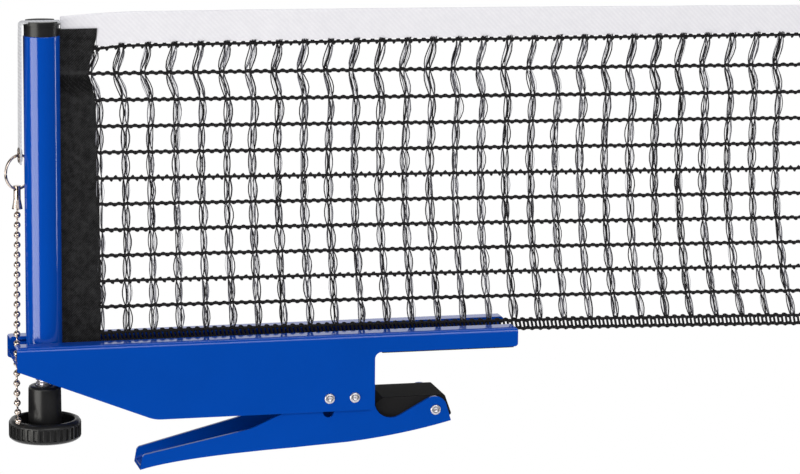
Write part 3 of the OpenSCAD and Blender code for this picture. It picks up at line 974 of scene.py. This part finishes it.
@dataclass
class Netting:
    """The knitted net: level cords of chain stitch and groups of thin upright threads."""

    hang: NetHang
    core: float = 0.64
    loop: float = 0.76
    reach: float = 0.88
    start: float = -0.12
    loops_a_column: int = 3
    steps_a_loop: int = 8
    thread: float = 0.27
    fibre: float = 0.12

    def level(self, row: float, phase: float, end: float, offset: float = 0.0) -> Strands:
        """One level cord: a core with a looping thread round it.

        Args:
            row: the row that it follows.
            phase: where in a loop it starts, in turns.
            end: the column where it ends.
            offset: how far it lies below the row, in millimetres.

        Returns:
            Its two strands.
        """
        core, loops, radii = [], [], []
        count = round((end - self.start) * self.loops_a_column * self.steps_a_loop)
        for i, column in enumerate(steps(self.start, end, count)):
            x, z = self.hang.at(column, row)
            y = self.hang.sway(x, z)
            z -= offset
            turn = math.tau * (column * self.loops_a_column + phase)
            if i % 4 == 0:
                core.append(Vector((x, y, z + 0.12 * math.sin(turn * 2))))
            front = 0.5 * self.reach * math.cos(turn)
            loops.append(Vector((x, y + front, z + self.reach * math.sin(turn))))
            radii.append(self.loop * (0.36 + 0.64 * math.sin(math.tau * i / self.steps_a_loop) ** 4))
        return [Strand(core, self.core), Strand(loops, radii)]

    def group(
        self, column: int, bows: Sequence[float], radius: float, steps_a_row: int, draw: random.Random
    ) -> Strands:
        """One column's upright threads: two bundles at each row, whose threads part between the rows.

        Args:
            column: the column.
            bows: how far each thread bows out of its bundle, in millimetres, the left bundle's first.
            radius: the threads' radius.
            steps_a_row: how many points each has between two rows.
            draw: where its unevenness comes from.

        Returns:
            The threads.
        """
        rows = self.hang.rows
        spread = [draw.uniform(0.75, 1.15) for _ in range(rows + 1)]
        drift = [draw.uniform(-0.35, 0.6) for _ in range(rows)]
        strands = []
        for number, bow in enumerate(bows):
            side = -1 if number < len(bows) / 2 else 1
            seat = [side * width + draw.uniform(-0.22, 0.22) for width in spread]
            out = [bow * draw.uniform(0.45, 1.5) + draw.uniform(-0.25, 0.25) + lean for lean in drift]
            front = draw.uniform(-0.4, 0.4)
            path = []
            for i in range(rows * steps_a_row + 1):
                row = i / steps_a_row
                cell = min(int(row), rows - 1)
                part = row - cell
                open_up = math.sin(math.pi * part)
                x, z = self.hang.at(column, row)
                dx = seat[cell] * (1 - part) + seat[cell + 1] * part + out[cell] * open_up
                path.append(Vector((x + dx, self.hang.sway(x, z) + front * open_up + 0.2 * side, z)))
            strands.append(Strand(path, radius))
        return strands

    def tufts(self) -> Strands:
        """The ends of the threads, which stand up over the tape's cord at each column.

        Returns:
            The threads.
        """
        draw = random.Random(41)
        strands = []
        for column in range(self.hang.columns):
            for k in range(4):
                x, z = self.hang.at(column, 0)
                x += (k - 1.5) * 0.75 + draw.uniform(-0.1, 0.1)
                y = self.hang.sway(x, z)
                top = z + 1.45 + draw.uniform(-0.15, 0.3)
                for side in (-1, 1):
                    bend = [(0, 1.05, top), (0.1, 1.1, z + 0.4), (0, 0.6, z - 0.6)]
                    path = [Vector((x + dx, y + side * dy, height)) for dx, dy, height in bend]
                    strands.append(Strand(path, self.thread))
        return strands

    def build(self) -> None:
        """Makes the netting, its loose fibres painted pale grey as a painted sheen, and the band along its
        foot.
        """
        draw = random.Random(7)
        levels = [s for row in range(self.hang.rows) for s in self.level(row, draw.random(), self.hang.end)]
        bm = wind(levels, 6)
        columns = range(self.hang.columns)
        dark = (-0.75, 0.55, 1.0, -0.7, 0.85)
        uprights = [s for c in columns for s in self.group(c, dark, self.thread, 5, random.Random(100 + c))]
        join(bm, wind(uprights, 4))
        join(bm, wind(self.tufts(), 4))
        net = settle(bm, "knitted_netting", BLACK_YARN, Body.POST, ["netting"], crease=70, flats=False)
        # the loose fibres of the black yarn, painted pale grey as a painted sheen
        sheen_bows = (-0.5, 0.1, 0.7, 1.3, -0.9, -0.3, 0.3, 0.7)
        loose = [s for c in columns for s in self.group(c, sheen_bows, self.fibre, 4, random.Random(300 + c))]
        fibres = settle(wind(loose, 4), "netting_fibre_sheen", FIBRE_SHEEN_GREY, Body.POST, crease=70, flats=False)
        band = NetBand(self).build()


@dataclass
class NetBand:
    """The knitted band along the net's foot: two level cords with slanted bars between them."""

    netting: Netting
    gap: float = 4.0
    bar_pitch: float = 1.86
    bar: float = 0.58
    slant: float = 1.0
    cross: float = 0.3

    def build(self) -> bpy.types.Object:
        """Makes the band.

        Returns:
            The piece.
        """
        hang = self.netting.hang
        strands = self.netting.level(hang.rows, 0.2, hang.end)
        strands += self.netting.level(hang.rows, 0.6, hang.end, self.gap)
        count = round(hang.columns * hang.pitch / self.bar_pitch)
        for i in range(count):
            column = (i + 0.5) * self.bar_pitch / hang.pitch
            x, z = hang.at(column, hang.rows)
            y = hang.sway(x, z)
            path = [
                Vector((x - self.slant / 2, y - self.cross, z)),
                Vector((x, y, z - 2.1)),
                Vector((x + self.slant / 2, y + self.cross, z - self.gap)),
            ]
            strands.append(Strand(path, self.bar))
        bm = wind(strands, 6)
        return settle(bm, "knitted_band", BLACK_YARN, Body.POST, ["net_band"], crease=70, flats=False)


@dataclass
class Tape:
    """The white tape, folded over the net's top cord and over both sleeves."""

    hang: NetHang
    half: float = 0.78
    thickness: float = 0.35
    rise: float = 3.3
    climb: float = 36.0
    seam_gap: float = 1.3
    sleeve_z: float = 147.9
    step: float = 0.02

    def top(self, x: float) -> float:
        """The height of the tape's fold.

        Args:
            x: the place along the net.

        Returns:
            The height in millimetres.
        """
        low, high = span("net_tape")
        u = (x - self.hang.x0) / (self.hang.pitch * self.hang.columns)
        share = min(max((x - low.x) / self.climb, 0.0), 1.0)
        near = 0.5 + 0.5 * math.sin(math.pi / 2 * share)
        return high.z + near * self.rise * (1 - max(u, 0.0) ** 1.5) + 0.15 * ripple(x, 0, 24, 9.0)

    def foot(self, x: float) -> float:
        """The height of the tape's lower edges: just over its cord, and higher over the sleeves.

        Args:
            x: the place along the net.

        Returns:
            The height in millimetres.
        """
        end_low, _ = span("net_end_sleeve")
        if x < self.hang.x0 - self.seam_gap or x > end_low.x:
            return self.sleeve_z
        _, z = self.hang.at((x - self.hang.x0) / self.hang.pitch, 0)
        return z + 1.1

    def place(self, x: float, share: float) -> Vector:
        """Where a point of the tape lies.

        Args:
            x: its place along the net.
            share: how far it is from the near lower edge over the fold to the far one, from 0 to 1.

        Returns:
            The point.
        """
        top, foot = self.top(x), self.foot(x)
        fold = self.half
        flank = top - fold - foot
        length = 2 * flank + math.pi * fold
        walk = share * length
        bow = self.hang.sway(x, top) + 0.28 * ripple(x, top, 34, 5.5)
        if walk < flank:
            z, y = foot + walk, -fold
        elif walk > length - flank:
            z, y = foot + length - walk, fold
        else:
            angle = (walk - flank) / fold
            return Vector((x, bow - fold * math.cos(angle), top - fold + fold * math.sin(angle)))
        belly = 0.2 * math.sin(math.pi * min((top - z) / 13, 1)) * math.copysign(1, y)
        crease = 0.2 * ripple(x * 1.5, z * 0.35, 13, 1.7)
        return Vector((x, y + bow + belly + crease, z))

    def build(self) -> None:
        """Makes the tape."""
        low, high = span("net_tape")
        end_low, _ = span("net_end_sleeve")
        seam = self.hang.x0 - self.seam_gap
        xs = steps(low.x, seam - self.step, 12)
        xs += steps(seam + self.step, end_low.x - self.step, 220)
        xs += steps(end_low.x + self.step, high.x, 12)
        flank = steps(0, 0.44, 9)
        shares = flank + steps(0.46, 0.54, 4) + [1 - s for s in reversed(flank)]
        bm = cloth(xs, shares, self.place)
        thicken(bm, self.thickness)
        tape = settle(bm, "white_tape", WHITE_TAPE, Body.POST, ["net_tape"], crease=60, flats=False)


@dataclass
class Sleeve:
    """The black twill sleeve round the net rod, sewn shut along its outer edge and beside the post."""

    hang: NetHang
    thickness: float = 0.32
    half: float = 0.62
    pinch_z: float = 128.5
    hem_z: float = 144.3
    tuck_z: float = 138.0
    mouth: float = 6.6
    round_at: float = 0.62
    seam_in: float = 3.6
    seam_out: float = 5.2
    stitch: float = 2.6

    def edge(self, z: float) -> float:
        """The X of the sleeve's sewn outer edge, which the net's first cord pulls in."""
        pull = 3.2 * bell(z, self.pinch_z + 1.5, 9.5) + 1.5 * bell(z, 120, 35)
        return self.hang.x0 - 0.45 - pull + 0.25 * ripple(z, 0, 16, 2.2)

    def place(self, share: float, z: float) -> Vector:
        """Where a point of the sleeve lies.

        Args:
            share: how far it is from the near sewn edge round the rod to the far one, from 0 to 1.
            z: its height.

        Returns:
            The point.
        """
        rod_low, rod_high = span("net_rod")
        rod_x = (rod_low.x + rod_high.x) / 2
        r = (rod_high.x - rod_low.x) / 2 + self.thickness + 0.12
        mouth = rod_x + self.mouth
        right = self.edge(z)
        side, t = face_of(share)
        if t > self.round_at:
            start = math.asin(0.9 / r)
            angle = start + (math.pi - start) * ((t - self.round_at) / (1 - self.round_at))
            return Vector((rod_x + r * math.cos(angle), side * r * math.sin(angle), z))
        if t > 0.5:
            part = (t - 0.5) / (self.round_at - 0.5)
            return Vector((mouth + (rod_x + r - mouth) * part, side * (1.1 - 0.2 * part), z))
        x = right + (mouth - right) * t / 0.5
        swell = 0.42 * math.sin(math.pi * min(1.0, (right - x) / (right - mouth))) ** 0.7
        pucker = 0.5 * ripple(x * 1.6, z, 6, 8.8 + side) + 0.4 * ripple(x, z, 17, 4.4 + side)
        over_tape = 0.75 * bell(z, span("net_sleeve")[1].z + 2, 5)
        seams = 0.3 * (bell(x, right - self.seam_in - 2, 0.8) + bell(x, mouth + self.seam_out, 0.8))
        # the first cord gathers the cloth into one level fold with small slanting pleats under it
        inward = 0.35 + 0.65 * (x - mouth) / (right - mouth)
        gather = inward * (1.2 * bell(z, self.pinch_z + 3.2, 2.2) + 0.6 * bell(z, self.pinch_z - 4.5, 3))
        gather -= 0.6 * inward * bell(z, self.pinch_z, 1.5)
        pleats = 0.3 * math.sin(math.tau * (x - 0.7 * z) / 2.4) * bell(z, self.pinch_z - 6, 4)
        depth = self.half + swell + max(-0.3, pucker) + over_tape - seams + gather + pleats
        return Vector((x, side * depth, z))

    def crease(self, x: float, z: float) -> float:
        """How much painted shade the cloth gets in its folds, and painted highlight on the ridge of its
        gather.

        Args:
            x: a point's place along the net.
            z: its height.

        Returns:
            The painted shade, from 0 to 1, and less than 0 where a painted highlight lightens the cloth.
        """
        rod_low, _ = span("net_rod")
        # painted shade in the pleats under the gather, along the hem's fold and in a tuck beside the rod,
        # less a painted highlight along the gather's ridge
        pleats = 0.55 + 0.45 * math.sin(math.tau * (x - 0.6 * z) / 1.7)
        gather = 0.6 * pleats * bell(z, self.pinch_z - 4.3, 3.4) - 0.35 * bell(z, self.pinch_z + 0.6, 0.8)
        hem = 0.2 * bell(z, self.hem_z, 0.5)
        tuck_x = rod_low.x + 9.5 + 0.1 * (z - self.tuck_z)
        tuck_shade = 0.4 * bell(x, tuck_x, 0.8) * bell(z, self.tuck_z, 4.5)
        return gather + hem + tuck_shade

    def stitches(self) -> Mesh:
        """The two rows of stitches on each side.

        Returns:
            The stitches.
        """
        low, high = span("net_sleeve")
        rod_low, rod_high = span("net_rod")
        mouth = (rod_low.x + rod_high.x) / 2 + self.mouth
        strands = []
        count = round((high.z - low.z - 4) / self.stitch)
        for side in (0, 1):
            for inner in (True, False):
                for i in range(count):
                    z = low.z + 2 + i * self.stitch
                    x = self.edge(z) - self.seam_in - 2 if inner else mouth + self.seam_out
                    path = []
                    for part, proud in ((0.08, 0.02), (0.4, 0.16), (0.72, 0.02)):
                        height = z + part * self.stitch
                        right = self.edge(height)
                        share = 0.25 * (right - x) / (right - mouth)
                        point = self.place(1 - share if side else share, height)
                        point.y += proud if side else -proud
                        path.append(point)
                    strands.append(Strand(path, 0.17))
        return wind(strands, 4)

    def build(self) -> None:
        """Makes the sleeve and its stitches."""
        low, high = span("net_sleeve")
        shares = steps(0, 0.25, 16) + steps(0.27, 0.31, 3) + steps(0.33, 0.67, 22)
        shares += steps(0.69, 0.73, 3) + steps(0.75, 1, 16)
        bm = cloth(shares, steps(low.z + 0.4, high.z + 1.2, 180), self.place)
        # the creases' painted shade and painted highlight go into the crease attribute, which the twill takes
        # off its colour
        layer = bm.verts.layers.float.new("crease")
        for vert in bm.verts:
            vert[layer] = self.crease(vert.co.x, vert.co.z)
        thicken(bm, self.thickness)
        sleeve = settle(bm, "twill_sleeve", BLACK_TWILL, Body.POST, ["net_sleeve"], crease=60, flats=False)
        bm = self.stitches()
        sewing = settle(bm, "twill_sleeve_stitches", BLACK_YARN, Body.POST, crease=60, flats=False)


@dataclass
class EndSleeve:
    """The net's second twill sleeve, sewn flat with its rod left out."""

    half: float = 0.55
    thickness: float = 0.32
    fold: float = 0.7
    fold_at: float = 0.94

    def place(self, share: float, z: float) -> Vector:
        """Where a point of the end sleeve lies.

        Args:
            share: how far it is from the near open edge round the fold to the far one, from 0 to 1.
            z: its height.

        Returns:
            The point.
        """
        low, high = span("net_end_sleeve")
        side, t = face_of(share)
        x = low.x + (high.x - self.fold - low.x) * min(t / self.fold_at, 1)
        if t > self.fold_at:
            angle = math.pi / 2 * (t - self.fold_at) / (1 - self.fold_at)
            return Vector((x + self.fold * math.sin(angle), side * self.half * math.cos(angle), z))
        pucker = 0.3 * ripple(x, z, 7, 6.6 + side)
        swell = 0.35 * math.sin(math.pi * t) + 0.6 * bell(z, high.z + 2, 5)
        return Vector((x, side * (self.half + swell + max(-0.15, pucker)), z))

    def build(self) -> None:
        """Makes the end sleeve."""
        low, high = span("net_end_sleeve")
        shares = steps(0, 0.46, 18) + steps(0.475, 0.525, 6) + steps(0.54, 1, 18)
        bm = cloth(shares, steps(low.z - 1.0, high.z + 1.2, 80), self.place)
        thicken(bm, self.thickness)
        sleeve = settle(
            bm, "twill_end_sleeve", BLACK_TWILL, Body.POST, ["net_end_sleeve"], crease=60, flats=False
        )


# ---- Strap, ring and chain ----


@dataclass
class TensionStrap:
    """The white strap that runs over the cap and down the back of the post to the chain's ring."""

    thickness: float = 0.5
    half: float = 4.3
    widening: float = 0.13
    shift: float = 0.5
    bend: float = 1.9
    slant: float = math.radians(4.2)
    hole: float = 2.75
    hem: float = 0.6
    steps_over: int = 16
    steps_bend: int = 8
    steps_down: int = 86

    @cached_property
    def line(self) -> Path:
        """The strap's middle line, before it slants: over the cap, round the bend and down.

        Returns:
            Its points.
        """
        low, high = span("tension_strap")
        t = self.thickness
        top = high.z - t / 2
        back = low.x + t / 2
        start = span("net_tape")[0].x - 0.1
        points = [Vector((x, 0, top)) for x in steps(start, back + self.bend, self.steps_over)]
        for i in range(1, self.steps_bend + 1):
            angle = math.pi / 2 * i / self.steps_bend
            x = back + self.bend - self.bend * math.sin(angle)
            points.append(Vector((x, 0, top - self.bend + self.bend * math.cos(angle))))
        down = steps(top - self.bend - 0.7, low.z + t * 0.3, self.steps_down)
        return points + [Vector((back, 0, z)) for z in down]

    def place(self, across: float, index: float) -> Vector:
        """Where a point of the strap lies.

        Args:
            across: its distance from the middle line, in millimetres.
            index: its number along the line.

        Returns:
            The point.
        """
        point = self.line[round(index)].copy()
        # the bend over the cap narrows the strap a little
        drop = max(self.line[self.steps_over + self.steps_bend].z - point.z, 0.0)
        wide = 1 + self.widening * min(drop / 10, 1.0)
        point.y = across * wide + self.shift + drop * math.tan(self.slant)
        point.x += 0.05 * ripple(across, point.z + point.x, 5, 12.0)
        return point

    def open_hole(self, bm: Mesh, eye: Vector) -> None:
        """Cuts a round hole for the eyelet and draws its edge smooth.

        Args:
            bm: the strap's mesh, in millimetres.
            eye: the eyelet's middle.
        """

        def away(co: Vector) -> float:
            """How far a point is from the eyelet's middle, and endless on the strap's other stretches."""
            return math.hypot(co.y - eye.y, co.z - eye.z) if abs(co.x - eye.x) < 1.5 else math.inf

        gone = [f for f in bm.faces if away(f.calc_center_median()) < self.hole]
        bmesh.ops.delete(bm, geom=gone, context="FACES")
        for vert in bm.verts:
            gap = away(vert.co)
            if vert.is_boundary and gap < self.hole + self.hem:
                out = Vector((0, vert.co.y - eye.y, vert.co.z - eye.z)).normalized()
                vert.co += out * (self.hole - gap)

    def build(self) -> None:
        """Makes the strap and opens it for the eyelet."""
        eye_low, eye_high = span("strap_eyelet")
        eye = (eye_low + eye_high) / 2
        bm = cloth(steps(-self.half, self.half, 24), list(range(len(self.line))), self.place)
        self.open_hole(bm, eye)
        thicken(bm, self.thickness)
        strap = settle(
            bm, "woven_tension_strap", STRAP_WEB, Body.BRACKET, ["tension_strap"], crease=50, flats=False
        )
        strap.parent = None
        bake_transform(strap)


@dataclass
class BeadChain:
    """The ring, the bell connector and the hollow-ball chain with its loose tail."""

    bead: float = 1.55
    pitch: float = 4.45
    link: float = 0.42
    up: int = 15
    tail: int = 7
    tail_lean: float = 46.0
    chain_x: float = -189.3
    notch_z: float = 3.2
    ring_wire: float = 1.3

    def ring(self) -> None:
        """The tension ring, wound from one round wire whose ends meet at a small gap."""
        low, high = span("tension_ring")
        middle = (low + high) / 2
        wire = self.ring_wire
        radius = (high.z - low.z) / 2 - wire / 2
        turn = math.atan2(high.y - low.y - wire, high.x - low.x - wire)
        side = Vector((math.cos(turn), math.sin(turn), 0))
        # the two ends meet at the side away from the post
        gap = math.radians(1.2)
        path = []
        for angle in steps(math.pi + gap, math.pi + math.tau - gap, 72):
            path.append(middle + side * radius * math.cos(angle) + Vector((0, 0, radius * math.sin(angle))))
        bm = wind([Strand(path, wire / 2 - 0.01)], 12)
        settle(bm, "nickel_tension_ring", NICKEL, Body.CHAIN, ["tension_ring"], crease=50, flats=False)

    def fittings(self) -> None:
        """The strap's eyelet and the chain's bell connector."""
        finish_packed("nickel", "strap_eyelet", 0.14, NICKEL, Body.BRACKET)
        finish_packed("nickel", "chain_connector", 0.2, NICKEL, Body.CHAIN, past=50, crease=45)

    def ball(self, centre: Vector, along: Vector) -> Mesh:
        """One hollow ball, drawn in to a small collar at both holes.

        Args:
            centre: its middle.
            along: the way that the chain runs through it.

        Returns:
            The ball.
        """
        b = self.bead
        collar = [(0.0, -b * 0.9), (0.3 * b, -b * 0.92), (0.36 * b, -b * 0.96)]
        turns = (0.47, 0.72, 0.98, 1.27, 1.57, 1.87, 2.16, 2.42, 2.67)
        outline = collar + [(b * math.sin(a), -b * math.cos(a)) for a in turns]
        outline += [(r, -h) for r, h in reversed(collar)]
        return lathe(outline, centre, along, 20)

    def run(self, centres: Path, start: Vector | None) -> Mesh:
        """A run of balls and the dumbbell links between them.

        Args:
            centres: the balls' middles.
            start: where a first link comes from, if it doesn't start at the first ball.

        Returns:
            The run.
        """
        bm = bmesh.new()
        for i, centre in enumerate(centres):
            ahead = centres[min(i + 1, len(centres) - 1)]
            behind = centres[max(i - 1, 0)]
            join(bm, self.ball(centre, (ahead - behind).normalized()))
        route = ([start] if start else []) + centres
        radii = [self.link * width for width in (1.5, 1, 1, 1, 1.5)]
        links = []
        for a, b in zip(route, route[1:]):
            way = (b - a).normalized()
            gap = (b - a).length
            links.append(Strand([a + way * gap * s for s in (0.26, 0.33, 0.5, 0.67, 0.74)], radii))
        join(bm, wind(links, 8))
        return bm

    def build(self) -> None:
        """Makes the ring, its fittings and both runs of the chain."""
        self.ring()
        self.fittings()
        low, high = span("chain_connector")
        clasp = Vector(((low.x + high.x) / 2, (low.y + high.y) / 2, self.notch_z + self.up * self.pitch))
        notch = Vector((self.chain_x, 0, self.notch_z))
        bm = self.run([notch.lerp(clasp, k / self.up) for k in range(self.up + 1)], None)
        settle(bm, "nickel_bead_chain", NICKEL, Body.CHAIN, ["bead_chain"], crease=50, flats=False)
        lean = math.radians(self.tail_lean)
        links = self.tail - 1
        sweep_r = links * self.pitch / lean
        hanging = []
        for k in range(self.tail):
            angle = lean * k / links
            y = -sweep_r * (1 - math.cos(angle))
            z = self.notch_z - self.pitch - sweep_r * math.sin(angle)
            hanging.append(Vector((self.chain_x - k / links, y, z)))
        bm = self.run(hanging, notch + Vector((0, 0, -self.bead * 0.6)))
        loose = settle(bm, "nickel_chain_tail", NICKEL, Body.CHAIN, ["chain_tail"], crease=50, flats=False)
        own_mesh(loose)


# ---- Studio ----


@dataclass
class Studio:
    """The pale floor, the soft lamps and the camera."""

    post_x: float = -177.0
    floor_z: float = -320.0
    floor_r: float = 0.75
    turn: float = 13.7263
    dip: float = 10.6788
    roll: float = 0.5461
    distance: float = 1600.0
    lens: float = 158.09
    aim: tuple[float, float, float] = (-13.8473, 0.0, 49.9691)
    fill: float = 0.4
    dark: float = 0.02
    roof: float = 0.12

    def straight(self, tree: Tree) -> tuple[Node, Socket]:
        """Tells what the camera sees straight or through glass from other light.

        Args:
            tree: the nodes of a material or of the surround.

        Returns:
            The light path, and a value of 1 for that sight and 0 for other light.
        """
        seen = add(tree, "LightPath")
        rays = {0: seen.outputs["Is Camera Ray"], 1: seen.outputs["Is Transmission Ray"]}
        return seen, add(tree, "Math", rays, operation="MAXIMUM").outputs["Value"]

    def floor(self) -> None:
        """A round pale table that looks white to the camera and keeps the object's shadow."""
        bm = bmesh.new()
        bmesh.ops.create_circle(bm, cap_ends=True, segments=96, radius=self.floor_r)
        bmesh.ops.translate(bm, vec=(0, 0, self.floor_z * MM), verts=bm.verts)
        mesh = bpy.data.meshes.new("studio_floor")
        bm.to_mesh(mesh)
        bm.free()
        floor = bpy.data.objects.new("studio_floor", mesh)
        bpy.context.scene.collection.objects.link(floor)
        made = bpy.data.materials.new("pale_studio_floor")
        made.use_nodes = True
        tree = made.node_tree
        shader = tree.nodes["Principled BSDF"]
        shader.inputs["Base Color"].default_value = linear("e4e4e4")
        shader.inputs["Roughness"].default_value = 0.9
        shader.inputs["Specular IOR Level"].default_value = 0.0
        # it glows only for the camera, also in a mirror, so it lights nothing
        seen, straight = self.straight(tree)
        rays = {0: straight, 1: seen.outputs["Is Glossy Ray"]}
        white = add(tree, "Math", rays, operation="MAXIMUM")
        tree.links.new(white.outputs["Value"], shader.inputs["Emission Strength"])
        shader.inputs["Emission Color"].default_value = (0.75, 0.75, 0.75, 1)
        mesh.materials.append(made)

    def world(self) -> None:
        """A dim surround for the lamps: a white backdrop, also in mirrors, between a dark floor and roof."""
        world = bpy.data.worlds.new("studio_surround")
        bpy.context.scene.world = world
        world.use_nodes = True
        tree = world.node_tree
        tree.nodes.clear()
        height = add(tree, "SeparateXYZ", {0: add(tree, "TexCoord").outputs["Generated"]}).outputs["Z"]
        bands = []
        for start, end, first, last in ((-0.06, 0.02, self.dark, 1), (0.22, 0.42, 1, self.roof)):
            band = {
                "Value": height,
                "From Min": start,
                "From Max": end,
                "To Min": first - self.fill,
                "To Max": last - self.fill,
            }
            bands.append(add(tree, "MapRange", band).outputs["Result"])
        room = add(tree, "Math", {0: bands[0], 1: bands[1]}, operation="MINIMUM").outputs["Value"]
        seen, straight = self.straight(tree)
        glossy = {0: seen.outputs["Is Glossy Ray"], 1: room, 2: self.fill}
        soft = add(tree, "Math", glossy, operation="MULTIPLY_ADD").outputs["Value"]
        level = add(tree, "Math", {0: straight, 1: soft}, operation="MAXIMUM").outputs["Value"]
        glow = add(tree, "Background", {"Color": (1, 1, 1, 1), "Strength": level})
        add(tree, "OutputWorld", {"Surface": glow.outputs["Background"]})

    def lamp(
        self,
        name: str,
        place: Vector,
        aim: Vector,
        size: tuple[float, float],
        glow: float,
        tint: str = "ffffff",
    ) -> None:
        """A rectangular softbox.

        Args:
            name: its name.
            place: its middle, in metres.
            aim: what it looks at, in metres.
            size: its width and height, in metres.
            glow: how bright its face is, where 1 is white.
            tint: its colour.
        """
        light = bpy.data.lights.new(name, "AREA")
        light.shape = "RECTANGLE"
        light.size, light.size_y = size
        light.energy = math.pi * glow * size[0] * size[1]
        light.color = linear(tint)[:3]
        lamp = bpy.data.objects.new(name, light)
        lamp.location = place
        lamp.rotation_euler = (aim - place).to_track_quat("-Z", "Y").to_euler()
        lamp.visible_camera = False
        bpy.context.scene.collection.objects.link(lamp)

    def around(self, turn: float, rise: float, distance: float) -> Vector:
        """A place about the post.

        Args:
            turn: degrees to the left of its front.
            rise: degrees up.
            distance: how far away it is, in metres.

        Returns:
            The place, in metres.
        """
        a, b = math.radians(turn), math.radians(rise)
        way = Vector((-math.sin(a) * math.cos(b), -math.cos(a) * math.cos(b), math.sin(b)))
        return Vector((self.post_x * MM, 0, 0.08)) + way * distance

    def lamps(self) -> None:
        """The long softbox low on the left, the strip to the right, the broad one in front and the top light.

        The first three stand where the post and the folded edges mirror them into the camera.
        """
        post = self.post_x * MM
        left = self.around(self.turn + 45, -self.dip + 3, 2.0)
        self.lamp("left_softbox", left, Vector((post, 0, left.z)), (1.7, 0.9), 6.0, "fffdf6")
        strip = self.around(self.turn - 102, -self.dip, 2.2)
        self.lamp("right_strip", strip, Vector((post, 0, strip.z)), (0.16, 0.7), 8.0)
        front = self.around(-self.turn, 2 * self.dip + 4, 2.3)
        self.lamp("front_softbox", front, Vector((0, 0, 0.05)), (2.2, 0.8), 3.7)
        self.lamp("top_softbox", Vector((0.0, 0.3, 1.8)), Vector((0, 0, 0)), (1.6, 1.0), 2.2)

    def camera(self) -> None:
        """The camera, level but for its slight roll."""
        turn, dip, roll = (math.radians(a) for a in (self.turn, self.dip, self.roll))
        ahead = Vector((math.sin(turn) * math.cos(dip), math.cos(turn) * math.cos(dip), -math.sin(dip)))
        right = ahead.cross(Vector((0, 0, 1))).normalized()
        up = right.cross(ahead)
        rolled_right = right * math.cos(roll) + up * math.sin(roll)
        rolled_up = up * math.cos(roll) - right * math.sin(roll)
        data = bpy.data.cameras.new("camera")
        data.sensor_fit = "HORIZONTAL"
        data.sensor_width = 36.0
        data.lens = self.lens
        data.clip_start, data.clip_end = 0.05, 100.0
        camera = bpy.data.objects.new("camera", data)
        spot = (Vector(self.aim) - ahead * self.distance) * MM
        facing = Matrix((rolled_right, rolled_up, -ahead)).transposed().to_4x4()
        camera.matrix_world = Matrix.Translation(spot) @ facing
        bpy.context.scene.collection.objects.link(camera)
        bpy.context.scene.camera = camera

    def build(self) -> None:
        """Sets the studio up."""
        bpy.context.scene.view_settings.view_transform = "Standard"
        self.floor()
        self.world()
        self.lamps()
        self.camera()


def main() -> None:
    """Builds the studio and every part of the clamp."""
    logging.basicConfig(level=logging.INFO, format="%(name)s %(message)s")
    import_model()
    hang = NetHang(span("netting")[0].x)
    parts = (
        Studio(),
        Bracket(),
        PivotSpring(),
        Lever(),
        Post(),
        HeightScrew(),
        Knob(),
        Netting(hang),
        Tape(hang),
        Sleeve(hang),
        EndSleeve(),
        TensionStrap(),
        BeadChain(),
    )
    for part in parts:
        part.build()


if __name__ == "__main__":
    main()
